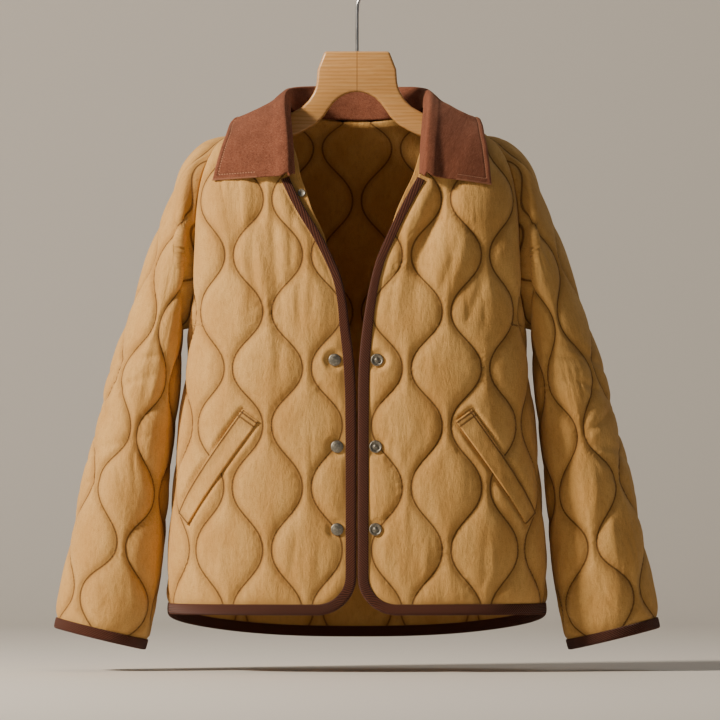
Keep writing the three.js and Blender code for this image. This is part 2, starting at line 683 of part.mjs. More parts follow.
function edgeBinding(stations, side) {
  const sections = bindingSections(stations, (s, h, t) => wear(side, s, h, t));
  const { points, polygons } = cappedLoft(sections, uCap);
  return toGeometry(solid(points, polygons));
}

// The back

const backHemUp = (share) =>
  -backDrop * Math.cos((Math.PI / 2) * Math.min(1, Math.abs(share)) ** 1.3);

function backStations() {
  const half = spread(0, 1, 12).map((share) => {
    const up = backHemUp(share), length = seamAt(up, true);
    const rise = (backHemUp(share + 0.01) - backHemUp(share - 0.01)) / 0.02 / length;
    const slope = share > 0.99 ? 0 : rise, size = Math.hypot(1, slope);
    return { s: share * length, h: along(up, true), inS: -slope / size, inH: 1 / size };
  });
  seamStation(half, true);
  const mirrored = half.slice(1).reverse().map((st) => ({ ...st, s: -st.s, inS: -st.inS }));
  return [...mirrored, ...half];
}

function back() {
  const stations = backStations();
  const hem = stations.map((st) => inset(st, stripWide - stripLap));
  const half = [...seamEdge(true), ...neckEdge(true, [4, 5, 6])];
  const other = half.map(([s, h]) => [-s, h]).reverse();
  const core = [...hem, ...half, ...neckEdge(true, [7]), ...other];
  const box = { left: -300, right: 300, bottom: -70, top: along(neckPointUp, true) + 10 };
  const cloth = quiltedCloth(box, lineStep / 2, quiltAlong).intersect(prism(core));
  return toGeometry(cloth.add(pressedStrip(stations)), (p) => wearQuilted(0, p));
}

// The sleeves

const cuffStations = (gap) =>
  spread(gap - sleeveHalf(0), sleeveHalf(0) - gap, 16).map((s) => ({ s, h: 0, inS: 0, inH: 1 }));

function sleeve(side) {
  const gap = seamGap / 2, top = (angle) => sleeveColumn(angle).at(-1).length;
  const right = spread(stripWide - stripLap, top(Math.PI) - 4, 10).map((h) => [sleeveHalf(h) - gap, h]);
  const cap = spread(Math.PI, -Math.PI, 36).slice(1, -1).map((angle) => {
    const length = top(angle) - 2 * seamGap;
    return [(angle / Math.PI) * (sleeveHalf(length) - gap), length];
  });
  const left = right.map(([s, h]) => [-s, h]).reverse();
  const box = { left: -200, right: 200, bottom: -10, top: Math.max(...cap.map(([, h]) => h)) + 10 };
  const cloth = quiltedCloth(box, lineStep / 2 - 7, sleeveWaveUp).intersect(prism([...right, ...cap, ...left]));
  const whole = cloth.add(pressedStrip(cuffStations(gap)));
  return toGeometry(whole, (p) => {
    const angle = (Math.PI * p.x) / sleeveHalf(p.y), h = p.y;
    const margin = Math.min(h - bindingWide, top(angle) - h, sleeveHalf(h) - Math.abs(p.x));
    return wearSleeve(side, p.x, h, pressed(p.z - dish(p.x, h), margin));
  });
}

function cuffBinding(side) {
  const stations = cuffStations(0).slice(1);
  const sections = bindingSections(stations, (s, h, t) => wearSleeve(side, s, h, t));
  const { points, polygons } = loft3(sections, true);
  return toGeometry(solid(points, polygons));
}

// The collar: a ribbon that stands at the neckline, rolls over and lies on the shoulders.
function collarPath(at, side) {
  const back = at > 3, row = (name) => column(collarRows, name, at);
  const edgeX = row(side < 0 ? "rightX" : "leftX"), edgeUp = row(side < 0 ? "rightUp" : "leftUp");
  const place = (x, up, t) => wear(back ? 0 : side, (back ? side : 1) * acrossAt(up, back, x), along(up, back), t);
  const ridge = 6 * Math.exp(-(((at - 3.2) / 1) ** 2));
  const clear = seamThick + loft + collarThick / 2 + 0.8 + ridge;
  const base = place(row("neckX"), row("neckUp"), 3);
  const roll = new THREE.Vector3(side * row("rollX"), row("rollY"), row("rollUp"));
  const outward = place(mix(row("neckX"), edgeX, 0.3), mix(row("neckUp"), edgeUp, 0.3), clear)
    .sub(base).setZ(0).normalize();
  const foot = base.clone().add(new THREE.Vector3(0, 0, 2.2)).addScaledVector(outward, -2);
  const inner = roll.clone().addScaledVector(outward, -3);
  const path = [foot, foot.clone().lerp(inner, 0.5).addScaledVector(outward, -1), inner.clone().setZ(roll.z - 4), roll];
  for (const v of [0.14, 0.4, 0.7, 1]) {
    const lie = place(mix(row("neckX"), edgeX, v), mix(row("neckUp"), edgeUp, v), clear);
    const over = roll.clone().addScaledVector(outward, 8 * Math.min(1, v / 0.12));
    over.z -= 4 * Math.min(1, v / 0.12);
    path.push(over.lerp(lie, soft(v / 0.75)));
  }
  return path;
}

function ribbonSection(path) {
  const sides = [[], []];
  const mid = path[Math.floor(path.length / 2)];
  const axis = path[0].clone().sub(path[3]).cross(mid.clone().sub(path[3])).normalize();
  path.forEach((p, i) => {
    const a = path[Math.max(0, i - 1)], b = path[Math.min(path.length - 1, i + 1)];
    const out = b.clone().sub(a).cross(axis).normalize().multiplyScalar(collarThick / 2);
    sides[0].push(p.clone().add(out));
    sides[1].push(p.clone().sub(out));
  });
  return [...sides[0], ...sides[1].reverse()];
}

function collarPiece() {
  const stations = spread(0, 7, 14);
  const right = stations.map((at) => ribbonSection(collarPath(at, -1)));
  const left = stations.slice(0, -1).reverse().map((at) => {
    const path = collarPath(at, 1).map((p) => new THREE.Vector3(-p.x, p.y, p.z));
    return ribbonSection(path).map((p) => new THREE.Vector3(-p.x, p.y, p.z));
  });
  const n = right[0].length, cap = [];
  for (let i = 0; i + 1 < n / 2; i++) cap.push([i, i + 1, n - 2 - i], [i, n - 2 - i, n - 1 - i]);
  const { points, polygons } = cappedLoft([...right, ...left], cap);
  return toGeometry(solid(points, polygons));
}

// The snap half on the facing: a plain disc with a raised rim.
function facingSnap(side) {
  const up = facingSnapUp, s = frontEdge(side, up) - 8.6, h = along(up, false);
  const low = -bindingGap - bindingThick - 0.5;
  const profile = [[0, low], [4.8, low], [4.8, low + 1.6], [3.4, low + 1.6], [2.8, low + 1.1], [0, low + 1.1]];
  return turned(side, s, h, profile);
}

// Snaps: a disc, a post through the cloth and a back, turned on one profile.
// The wearer's right has plain caps and the left has open studs with a rim and a nub.
function snapPiece(side, [s, h]) {
  const low = -snap.backThick - seamGap, high = snapSeat + seamGap, top = high + snap.capThick;
  const cap = [[snap.capR, high + 1], [snap.capR * 0.8, top], [0, top]];
  const stud = [
    [snap.capR - 0.6, top - 0.8], [snap.capR - 2.6, top - 0.8], [snap.capR - 3.2, high + 0.9],
    [2.2, high + 0.9], [1.9, top], [0, top],
  ];
  const profile = [
    [0, low], [snap.backR, low], [snap.backR, -seamGap], [snap.postR, -seamGap],
    [snap.postR, high], [snap.capR, high], ...(side < 0 ? cap : stud),
  ];
  return turned(side, s, h, profile);
}

// A solid turned on a profile of radius and height, set square on a front.
function turned(side, s, h, profile) {
  const g = new THREE.LatheGeometry(profile.map(([r, t]) => new THREE.Vector2(r, t)), 8);
  const out = wear(side, s, h, 5).sub(wear(side, s, h, 0)).normalize();
  g.applyQuaternion(new THREE.Quaternion().setFromUnitVectors(new THREE.Vector3(0, 1, 0), out));
  g.translate(...wear(side, s, h, 0).toArray());
  return toGeometry(fromGeometry(g));
}

// The hanger

// Height of the shoulder seam's inner face at a distance from the centre.
function shoulderHeight(x) {
  let low = 560, high = 604;
  for (let i = 0; i < 30; i++) {
    const up = (low + high) / 2;
    if (column(bodyRows, "half", up) > x) low = up;
    else high = up;
  }
  return low;
}

function hangerPiece() {
  const t = hanger.thick / 2;
  const top = spread(hanger.tip, 84, 6).map((x) => [x, shoulderHeight(x) - 3]);
  const neck = [[66, 610], [53, 626], [49, 640], [47.5, 655], [39, 677]];
  const under = [[0, 628], [14, 625], [28, 615], [40, 598], [64, 580], [100, 566], [hanger.tip - 12, 548], [hanger.tip, 551]];
  const half = [...under, ...top, ...neck];
  const outline = [...half, ...half.slice(1).reverse().map(([x, up]) => [-x, up])];
  const shape = new THREE.Shape(outline.map(([x, up]) => new THREE.Vector2(x, up)));
  const g = new THREE.ExtrudeGeometry(shape, {
    depth: hanger.thick - 4, bevelEnabled: true, bevelThickness: 2, bevelSize: 1.4, bevelSegments: 1, bevelOffset: -1.4,
  });
  g.rotateX(Math.PI / 2);
  g.translate(0, t - 2, 0);
  let made = fromGeometry(g);
  const hole = new THREE.CylinderGeometry(hookWire.r + seamGap, hookWire.r + seamGap, 40, 12);
  hole.rotateX(Math.PI / 2);
  hole.translate(0, 0, 660 + 20);
  made = made.subtract(fromGeometry(hole));
  return toGeometry(made);
}

function hookPiece() {
  const centreUp = hookUp - hookWire.bend + hookWire.r;
  const points = [new THREE.Vector3(0, 0, 662), new THREE.Vector3(0, 0, 700), new THREE.Vector3(0, 0, hookWire.stemTop)];
  for (const a of spread(radians(-58), radians(hookWire.tip), 15)) {
    points.push(new THREE.Vector3(hookWire.bend * Math.cos(a), 0, centreUp + hookWire.bend * Math.sin(a)));
  }
  const path = new THREE.CatmullRomCurve3(points, false, "centripetal");
  const round = spread(0, 2 * Math.PI, 6).slice(1);
  const section = new THREE.Shape(round.map((a) => new THREE.Vector2(Math.cos(a), Math.sin(a)).multiplyScalar(hookWire.r)));
  const g = new THREE.ExtrudeGeometry(section, { steps: 26, extrudePath: path, bevelEnabled: false });
  return toGeometry(fromGeometry(g));
}

// Materials, from the photographed colours
const finish = (color, roughness, metalness = 0) =>
  new THREE.MeshStandardMaterial({ color, roughness, metalness });
const quilted = finish(0xc79a5d, 0.85);
const wool = finish(0x6f3a28, 0.95);
const bindingTape = finish(0x4f2419, 0.9);
const gunmetal = finish(0x6b6a66, 0.35, 1);
const beech = finish(0xcf9a55, 0.5);
const steel = finish(0xc9c9c9, 0.25, 1);

const jacket = new THREE.Group();
jacket.position.z = -hookUp;

function addPiece(name, geometry, material) {
  const mesh = new THREE.Mesh(geometry, material);
  mesh.name = name;
  jacket.add(mesh);
}

const sides = [{ word: "right", side: -1 }, { word: "left", side: 1 }];

addPiece("back", back(), quilted);
addPiece("binding_back_hem", edgeBinding(backStations(), 0), bindingTape);
for (const { word, side } of sides) {
  addPiece(`front_${word}`, front(side), quilted);
  addPiece(`binding_front_${word}`, edgeBinding(frontStations(side), side), bindingTape);
  addPiece(`facing_${word}`, facing(side), quilted);
  addPiece(`sleeve_${word}`, sleeve(side), quilted);
  addPiece(`binding_cuff_${word}`, cuffBinding(side), bindingTape);
  addPiece(`pocket_welt_${word}`, weltPiece(side), quilted);
  snapPlaces(side).forEach((at, i) => addPiece(`snap_${word}_${i + 1}`, snapPiece(side, at), gunmetal));
}
addPiece("snap_facing", facingSnap(-1), gunmetal);
addPiece("collar", collarPiece(), wool);
addPiece("hanger", hangerPiece(), beech);
addPiece("hook", hookPiece(), steel);

const model = new THREE.Group();
model.add(jacket);
export default model;
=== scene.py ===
# A quilted jacket that hangs open on a wooden hanger: its looks.
# Shapes are worked out in millimetres, as x, y and height above the fronts' hem ("up"),
# and are put into the mesh in metres, measured from the hook's bearing point.

import math

import bpy
import numpy as np
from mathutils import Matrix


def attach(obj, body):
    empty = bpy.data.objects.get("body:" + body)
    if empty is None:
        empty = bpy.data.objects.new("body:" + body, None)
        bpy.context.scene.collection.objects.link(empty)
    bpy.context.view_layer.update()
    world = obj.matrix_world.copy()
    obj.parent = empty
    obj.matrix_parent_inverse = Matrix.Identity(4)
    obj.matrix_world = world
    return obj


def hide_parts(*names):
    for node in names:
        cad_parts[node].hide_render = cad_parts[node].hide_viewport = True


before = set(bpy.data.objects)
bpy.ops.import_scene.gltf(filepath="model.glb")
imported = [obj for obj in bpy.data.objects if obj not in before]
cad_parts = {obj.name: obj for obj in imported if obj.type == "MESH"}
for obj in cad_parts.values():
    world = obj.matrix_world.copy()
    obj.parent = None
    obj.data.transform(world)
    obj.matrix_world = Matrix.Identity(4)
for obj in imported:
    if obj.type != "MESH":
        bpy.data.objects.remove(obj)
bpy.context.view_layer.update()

hookUp = 798.0

cloth = {
    "seamThick": 2.3,  # cloth where it is stitched down
    "loft": 6.0,  # rise of the padding between stitch lines
    "loftReach": 9.0,
    "lineStep": 47.6,  # mean spacing of the quilting lines
    "lineSwing": 18.5,
    "halfWave": 68.0,
    "lowBelow": 230.0,  # below this height the body's waves are a little longer
    "lowLonger": 0.09,
    "frontLine": 36.0,  # first line from the centre front
    "frontWaveUp": 430.0,
    "sleeveWaveUp": 47.0,
    "sleeveLine": 16.8,
    "seamGap": 0.4,
    "gridStep": 2.2,  # spacing of the mesh's points
    "pucker": 0.6,  # height of the small puckers beside the stitching
    "crease": 1.6,  # height of the soft upright creases
    "creaseFade": 7.0,  # how far from a stitch line the larger creases reach their depth
    "least": 1.4,  # the thinnest that a crease leaves the cloth
}

# The points of each panel's grid, in mm of cloth, and the seeds of its creases.
gridSpan = {"front": 236, "back": 560, "sleeveLong": 640, "sleeveRound": 370, "cuffRound": 310}
seeds = {"front": {-1: 100, 1: 200}, "back": 300, "sleeve": {-1: 400, 1: 500}}

bodyRows = {
    "up": [-60, 0, 136, 256, 345, 430, 490, 530, 556, 572, 584, 594, 604],
    "half": [225.5, 224.5, 217.5, 204.5, 197.5, 199.5, 198.5, 189.5, 174.5, 154.5, 130.5, 105.5, 80.5],
    "front": [124, 122, 119, 115, 112, 109, 102, 91, 76, 62, 48, 34, 20],
    "back": [118, 117, 115, 112, 111, 111, 107, 99, 87, 74, 62, 50, 38],
    "frontSquare": [3.2, 3.2, 3.3, 3.4, 3.5, 3.4, 3.2, 3.0, 2.8, 2.6, 2.4, 2.3, 2.2],
    "backSquare": [2.5, 2.5, 2.5, 2.6, 2.7, 2.8, 2.8, 2.7, 2.6, 2.5, 2.4, 2.3, 2.2],
}

frontEdgeRows = {
    "up": [0, 255, 304, 346, 375, 402, 428, 455, 484, 508, 526, 548, 572, 590],
    "right": [0, 0.5, 3, 8.5, 12, 18, 29, 43, 61, 74, 81, 80, 80, 80],
    "left": [0, 0.5, 2, 6.5, 11, 16.5, 24, 36, 50, 63, 73, 79, 80, 80],
    "showRight": [-8, -8, -8, -8, -8, -8, -2, 6, 10.5, 15.5, 16, 11, 3, -2],
    "showLeft": [-8, -8, -8, -8, -8, -8, -6, 0, 5, 7.5, 9, 8, 3, -2],
}

sleeveRows = {
    "at": [0, 1, 2, 3, 4, 5, 6, 7, 8, 9, 10, 11],
    "outX": [152.5, 181, 203.5, 217.5, 232.5, 252, 271, 291.5, 315, 338, 354.5, 361.5],
    "outUp": [573, 559, 536, 503, 465, 410, 354, 290, 200, 98, 14, -18],
    "inX": [196.5, 213, 220.5, 218.5, 218.5, 219.5, 222, 227, 232, 237.5, 246, 259],
    "inUp": [345, 342, 334, 320, 301, 275, 245, 205, 150, 90, 11, -43],
    "depth": [58, 61, 63, 63, 62, 61, 60, 58, 56, 53, 49, 47],
    "lean": [0, 0, 0, 1, 2, 3, 3, 2, -1, -6, -11, -13],
}

collarRows = {
    "at": [0, 1, 2, 3, 4, 5, 6, 7],
    "neckX": [77, 79, 81, 82, 76, 55, 28, 0],
    "neckUp": [524, 552, 580, 603, 599, 594, 591, 590],
    "rightX": [168, 161, 152, 141, 124, 92, 46, 0],
    "rightUp": [516, 544, 567, 580, 556, 536, 526, 523],
    "leftX": [157, 154, 149, 140, 124, 92, 46, 0],
    "leftUp": [511, 541, 565, 580, 556, 536, 526, 523],
    "rollX": [84, 85, 88, 88, 79, 57, 29, 0],
    "rollY": [-108, -86, -50, -4, 38, 62, 74, 78],
    "rollUp": [529, 569, 602, 625, 632, 634, 635, 635],
}

# The panels' neck edges between their ends: distance from the centre at a height.
frontNeckRows = {"up": [552.0, 580.0], "x": [79.0, 81.0]}
backNeckRows = {"up": [590.0, 591.0, 594.0, 599.0], "x": [0.0, 28.0, 55.0, 76.0]}

# Smaller creases of the fronts, fixed by their ends across and up, with width and depth.
frontCreases = {
    "side": [1, 1, 1, -1, -1, -1, -1],
    "fromAcross": [96, 122, 150, 70, 98, 128, 60],
    "fromUp": [515, 480, 420, 505, 500, 470, 430],
    "toAcross": [58, 98, 128, 84, 92, 120, 74],
    "toUp": [385, 360, 330, 385, 330, 350, 330],
    "wide": [7, 6, 6, 5, 6, 6, 5],
    "deep": [-4.2, -2.2, -1.8, -2.4, -2.6, -2.2, -1.8],
}

# Wrinkles of the sleeves, on the fold of the elbow: angle round from the shoulder in degrees,
# height above the cuff, length round and up, and depth.
sleeveWrinkles = {
    "angle": [28, 52, 40, 66, 20, -50, -30, 75, 34],
    "up": [330, 300, 262, 232, 215, 300, 250, 340, 180],
    "slope": [0.55, 0.5, -0.35, 0.45, 0.5, -0.5, -0.4, 0.35, 0.4],
    "wide": [6, 5.5, 6, 5, 5, 6, 6, 5, 5],
    "reach": [46, 40, 44, 36, 34, 44, 40, 36, 32],
    "deep": [-3.4, -2.6, -3.0, -2.2, -1.8, -3.0, -2.4, -2.2, -1.8],
}

# Folds of the fronts: which front, place across and up, lean, width, reach and depth.
frontFolds = {
    "side": [1, 1, -1, -1, -1],
    "across": [92, 118, 118, 100, 150],
    "up": [470, 430, 470, 440, 450],
    "lean": [0.3, 0.22, 0.02, 0.04, -0.05],
    "wide": [13, 16, 11, 10, 12],
    "reach": [85, 55, 70, 90, 80],
    "deep": [-8, 4, -4, -3, -3],
}

hemCorner = 45.0
backDrop = 31.0
underarmUp = 345.0
shoulderUp = 573.0
neckPointUp = 603.0
neckEndUp = 522.0
armholeBite = 0.2
centreGap = 2.7
mitreReach = 18.0
solveRounds = 12


def mix(a, b, t):
    return a + (b - a) * t


def soft(t):
    t = np.clip(t, 0, 1)
    return t * t * (3 - 2 * t)


def unit(v):
    return v / np.maximum(np.linalg.norm(v, axis=-1, keepdims=True), 1e-9)


def column(rows, name, x):
    # a cubic through the rows, with each row's slope from its two neighbours
    key = np.array(rows["at" if "at" in rows else "up"], float)
    v = np.array(rows[name], float)
    low = np.maximum(np.arange(len(key)) - 1, 0)
    high = np.minimum(np.arange(len(key)) + 1, len(key) - 1)
    slope = (v[high] - v[low]) / (key[high] - key[low])
    i = np.clip(np.searchsorted(key, x, side="right"), 1, len(key) - 1)
    w = key[i] - key[i - 1]
    t = np.clip((x - key[i - 1]) / w, 0, 1)
    a = (2 * t**3 - 3 * t**2 + 1) * v[i - 1] + (t**3 - 2 * t**2 + t) * w * slope[i - 1]
    return a + (3 * t**2 - 2 * t**3) * v[i] + (t**3 - t**2) * w * slope[i]


def cubicWeights(t):
    return [
        -0.5 * t + t**2 - 0.5 * t**3,
        1 - 2.5 * t**2 + 1.5 * t**3,
        0.5 * t + 2 * t**2 - 1.5 * t**3,
        -0.5 * t**2 + 0.5 * t**3,
    ]


def sampleTable(table, i, j):
    # a smooth surface through a table of points, read at fractions of its rows and columns
    i0 = np.clip(np.floor(i).astype(int), 1, table.shape[0] - 3)
    j0 = np.clip(np.floor(j).astype(int), 1, table.shape[1] - 3)
    rowWeights, columnWeights = cubicWeights(i - i0), cubicWeights(j - j0)
    total = 0
    for a in range(4):
        for b in range(4):
            weight = (rowWeights[a] * columnWeights[b])[..., None]
            total = total + weight * table[i0 + a - 1, j0 + b - 1]
    return total


# The body: level rings, each a rounded oblong r = ((cos/b)^n + (sin/a)^n)^(-1/n).

ringUps = np.arange(-66.0, 612.0, 2.0)
shareCount = 200


def ringTable(back):
    up = np.clip(ringUps, -60, 604)[:, None]
    a, n = column(bodyRows, "half", up), column(bodyRows, "backSquare" if back else "frontSquare", up)
    b = column(bodyRows, "back" if back else "front", up)
    angle = np.linspace(0, math.pi / 2, 1200)[None, :]
    r = ((np.cos(angle) / b) ** n + (np.sin(angle) / a) ** n) ** (-1 / n)
    x, y = r * np.sin(angle), (1 if back else -1) * r * np.cos(angle)
    steps = np.hypot(np.diff(x), np.diff(y))
    length = np.concatenate([np.zeros((len(ringUps), 1)), np.cumsum(steps, axis=1)], axis=1)
    shares = np.arange(-2, shareCount + 4) / shareCount
    table = np.zeros((len(ringUps), len(shares), 3))
    for i in range(len(ringUps)):
        along = shares * length[i, -1]
        table[i, :, 0] = np.interp(np.abs(along), length[i], x[i]) * np.sign(along + 1e-12)
        table[i, :, 1] = np.interp(np.abs(along), length[i], y[i])
        past = np.maximum(along - length[i, -1], 0)
        table[i, :, 1] += past * (-1 if back else 1)
        table[i, :, 2] = ringUps[i]
    return table, length[:, -1]


ringTables = [ringTable(False), ringTable(True)]
alongUps = np.linspace(-60, 604, 333)
alongTables = []
for depthName in ["front", "back"]:
    depths = column(bodyRows, depthName, alongUps)
    pieces = np.hypot(np.diff(alongUps), np.diff(depths))
    alongTables.append(np.concatenate([[-60.0], -60 + np.cumsum(pieces)]))


def along(up, back):
    return np.interp(up, alongUps, alongTables[int(back)])


def upAt(h, back):
    table = alongTables[int(back)]
    up = np.interp(h, table, alongUps)
    return up + np.minimum(h - table[0], 0) + np.maximum(h - table[-1], 0) * 0.7


def quarterLength(up, back):
    return np.interp(up, ringUps, ringTables[int(back)][1])


def bodyPoint(s, h, back):
    up = upAt(h, back)
    share = s / quarterLength(up, back)
    return sampleTable(ringTables[int(back)][0], (up - ringUps[0]) / 2, share * shareCount + 2)


def outward(place, s, h, step=1.2):
    # the surface's outward direction, from its slopes across and along the cloth
    across = place(s + step, h) - place(s - step, h)
    upwards = place(s, h + step) - place(s, h - step)
    return unit(np.cross(across, upwards))


def bodyOut(s, h, back):
    return outward(lambda a, b: bodyPoint(a, b, back), s, h) * (-1 if back else 1)


def acrossAt(up, back, x):
    # the length across the cloth at which the ring reaches a distance x from the centre
    length = np.full(np.broadcast(up, x).shape, 0.0) + x
    for _ in range(solveRounds):
        found = bodyPoint(length, along(up, back), back)[..., 0]
        length = np.clip(length + (x - found) * 1.02, 0, quarterLength(up, back))
    return length


edgeUps = np.linspace(-60, 604, 665)
edgeTables = [
    acrossAt(edgeUps, False, column(frontEdgeRows, name, edgeUps) + centreGap) for name in ["right", "left"]
]


def frontEdge(side, up):
    return np.interp(up, edgeUps, edgeTables[0 if side < 0 else 1])


def armholeShare(up):
    q = np.clip((up - underarmUp) / (shoulderUp - underarmUp), 0, 1)
    return 1 - armholeBite * np.maximum(1 - np.abs(2 * q - 1) ** 2.4, 0) ** (1 / 2.4)


def seamAt(up, back):
    return armholeShare(up) * quarterLength(up, back) - 0.8 * cloth["seamGap"]


# The sleeve: rings from the armhole to the cuff, its flat cloth measured up from the cuff.

angleCount = 144
armCount = 160


def armholePoint(angle):
    up = mix(underarmUp, shoulderUp, (1 + np.cos(angle)) / 2)
    points = []
    for back in [False, True]:
        points.append(bodyPoint(armholeShare(up) * quarterLength(up, back), along(up, back), back))
    return np.where((angle < 0)[..., None], points[1], points[0])


def sleeveRing(angle, at):
    # outer = (1 + cos)/2 runs between the outlines, and sin carries the depth
    outer = (1 + np.cos(angle)) / 2
    x = mix(column(sleeveRows, "inX", at), column(sleeveRows, "outX", at), outer)
    y = column(sleeveRows, "lean", at) - np.sin(angle) * column(sleeveRows, "depth", at)
    up = mix(column(sleeveRows, "inUp", at), column(sleeveRows, "outUp", at), outer)
    return np.stack([x, y, up], axis=-1)


def sleeveTable():
    angle = (np.arange(-3, angleCount + 4) - angleCount / 2) / (angleCount / 2) * math.pi
    angle = (angle + math.pi) % (2 * math.pi) - math.pi
    at = np.linspace(11, 0, 400)
    a, t = np.meshgrid(angle, at, indexing="ij")
    keep = soft(1 - t / 2.6)[..., None]
    points = sleeveRing(a, t) + keep * (armholePoint(a) - sleeveRing(a, np.zeros_like(t)))
    length = np.cumsum(np.linalg.norm(np.diff(points, axis=1), axis=-1), axis=1)
    length = np.concatenate([np.zeros((len(angle), 1)), length], axis=1)
    shares = np.arange(-2, armCount + 4) / armCount
    table = np.zeros((len(angle), len(shares), 3))
    for i in range(len(angle)):
        reach = shares * length[i, -1]
        for axis in range(3):
            table[i, :, axis] = np.interp(reach, length[i], points[i, :, axis])
        for end in [0, -1]:
            slope = points[i, end] - points[i, end + (4 if end == 0 else -4)]
            slope = slope / np.linalg.norm(slope)
            past = np.maximum(-reach, 0) if end == 0 else np.maximum(reach - length[i, -1], 0)
            table[i] += past[:, None] * slope
    return table, length[:, -1]


sleevePoints, sleeveLengths = sleeveTable()


def angleRow(angle):
    # the row of the sleeve's table that an angle falls on, past the three spare rows
    return angle / math.pi * angleCount / 2 + angleCount / 2 + 3


def sleeveTop(angle):
    return np.interp(angleRow(angle), np.arange(len(sleeveLengths)), sleeveLengths)


def sleeveHalf(h):
    return mix(155.0, 196.0, soft(h / 380))


def sleevePoint(s, h):
    angle = math.pi * s / sleeveHalf(h)
    share = h / sleeveTop(angle)
    return sampleTable(sleevePoints, angleRow(angle), share * armCount + 2)


def sleeveOut(s, h):
    return -outward(sleevePoint, s, h)


def seamLine(back):
    # points down the armhole seam, each with the direction that both of its cloths turn to
    angle = np.linspace(math.pi, 0, 49)
    up = mix(underarmUp, shoulderUp, (1 + np.cos(angle)) / 2)
    s, h = armholeShare(up) * quarterLength(up, back), along(up, back)
    signed = np.clip(-angle if back else angle, -math.pi + 0.01, math.pi - 0.01)
    top = sleeveTop(signed)
    out = unit(bodyOut(s, h, back) + sleeveOut(signed / math.pi * sleeveHalf(top), top - 0.5))
    return s, h, out


seamLines = [seamLine(False), seamLine(True)]


def nearSeam(s, h, back):
    lineS, lineH, out = seamLines[int(back)]
    best = np.full(s.shape, 1e9)
    direction = np.zeros(s.shape + (3,))
    for i in range(len(lineS) - 1):
        ds, dh = lineS[i + 1] - lineS[i], lineH[i + 1] - lineH[i]
        t = np.clip(((s - lineS[i]) * ds + (h - lineH[i]) * dh) / (ds * ds + dh * dh), 0, 1)
        distance = np.hypot(s - lineS[i] - t * ds, h - lineH[i] - t * dh)
        closer = distance < best
        best = np.where(closer, distance, best)
        direction = np.where(closer[..., None], mix(out[i], out[i + 1], t[..., None]), direction)
    return best, direction


def foldDepth(side, s, h):
    total = np.zeros_like(s)
    for i, which in enumerate(frontFolds["side"]):
        if which == side:
            f = {name: values[i] for name, values in frontFolds.items()}
            across = (s - f["across"] - f["lean"] * (h - f["up"])) / f["wide"]
            total += f["deep"] * np.exp(-(across**2) - ((h - f["up"]) / f["reach"]) ** 2)
    return total


def creaseDepth(side, s, h):
    # long shallow troughs between two ends, fading towards both
    total = np.zeros_like(s)
    for i, which in enumerate(frontCreases["side"]):
        if which == side:
            f = {name: values[i] for name, values in frontCreases.items()}
            ds, dh = f["toAcross"] - f["fromAcross"], f["toUp"] - f["fromUp"]
            size = math.hypot(ds, dh)
            run = ((s - f["fromAcross"]) * ds + (h - f["fromUp"]) * dh) / size**2
            off = ((s - f["fromAcross"]) * dh - (h - f["fromUp"]) * ds) / size + 3 * np.sin(5 * run)
            total += f["deep"] * np.exp(-((off / f["wide"]) ** 2)) * soft(run * 3) * soft((1 - run) * 3)
    return total


def wrinkleDepth(s, h, angle):
    # troughs that run slantwise round the sleeve
    total = np.zeros_like(s)
    for i in range(len(sleeveWrinkles["angle"])):
        f = {name: values[i] for name, values in sleeveWrinkles.items()}
        around = (angle - math.radians(f["angle"])) * 58
        off = (h - f["up"] - f["slope"] * around) / f["wide"]
        total += f["deep"] * np.exp(-(off**2) - (around / f["reach"]) ** 2)
    return total


def wear(side, s, h, t):
    # a flat place (s across, h along, t out) carried to the figure; side 0 is the back
    back = side == 0
    s, h, t = np.broadcast_arrays(np.asarray(s, float), np.asarray(h, float), np.asarray(t, float))
    across = np.abs(s)
    out = bodyOut(across, h, back)
    distance, seamOut = nearSeam(across, h, back)
    turn = soft(1 - distance / mitreReach)
    out = unit(mix(out, seamOut, turn[..., None]))
    lift = foldDepth(side, across, h) * (1 - turn)
    point = bodyPoint(across, h, back) + out * (t + lift)[..., None]
    point[..., 0] *= np.where(s < 0, -1, 1) if back else side
    return point


def wearSleeve(side, s, h, t):
    s, h, t = np.broadcast_arrays(np.asarray(s, float), np.asarray(h, float), np.asarray(t, float))
    angle = math.pi * s / sleeveHalf(h)
    out = sleeveOut(s, h)
    turn = soft(1 - (sleeveTop(angle) - h) / mitreReach)
    f = np.clip((1 - np.abs(angle) / math.pi) * 48, 0, 47.999)
    i, part = f.astype(int), (f - f.astype(int))[..., None]
    shared = [mix(line[2][i], line[2][i + 1], part) for line in seamLines]
    seamOut = np.where((angle < 0)[..., None], shared[1], shared[0])
    out = unit(mix(out, seamOut, turn[..., None]))
    point = sleevePoint(s, h) + out * t[..., None]
    point[..., 0] *= side
    return point


print("jacket: figure worked out")

# The quilting and the cloth's own creases


def softNoise(x, y, seed):
    # smooth noise from -1 to 1: random values on a lattice, joined by cubic steps
    lattice = np.random.default_rng(seed).uniform(-1, 1, (64, 64))
    i, j = np.floor(x).astype(int), np.floor(y).astype(int)
    u, v = soft(x - i), soft(y - j)
    a = mix(lattice[i % 64, j % 64], lattice[(i + 1) % 64, j % 64], u)
    b = mix(lattice[i % 64, (j + 1) % 64], lattice[(i + 1) % 64, (j + 1) % 64], u)
    return mix(a, b, v)


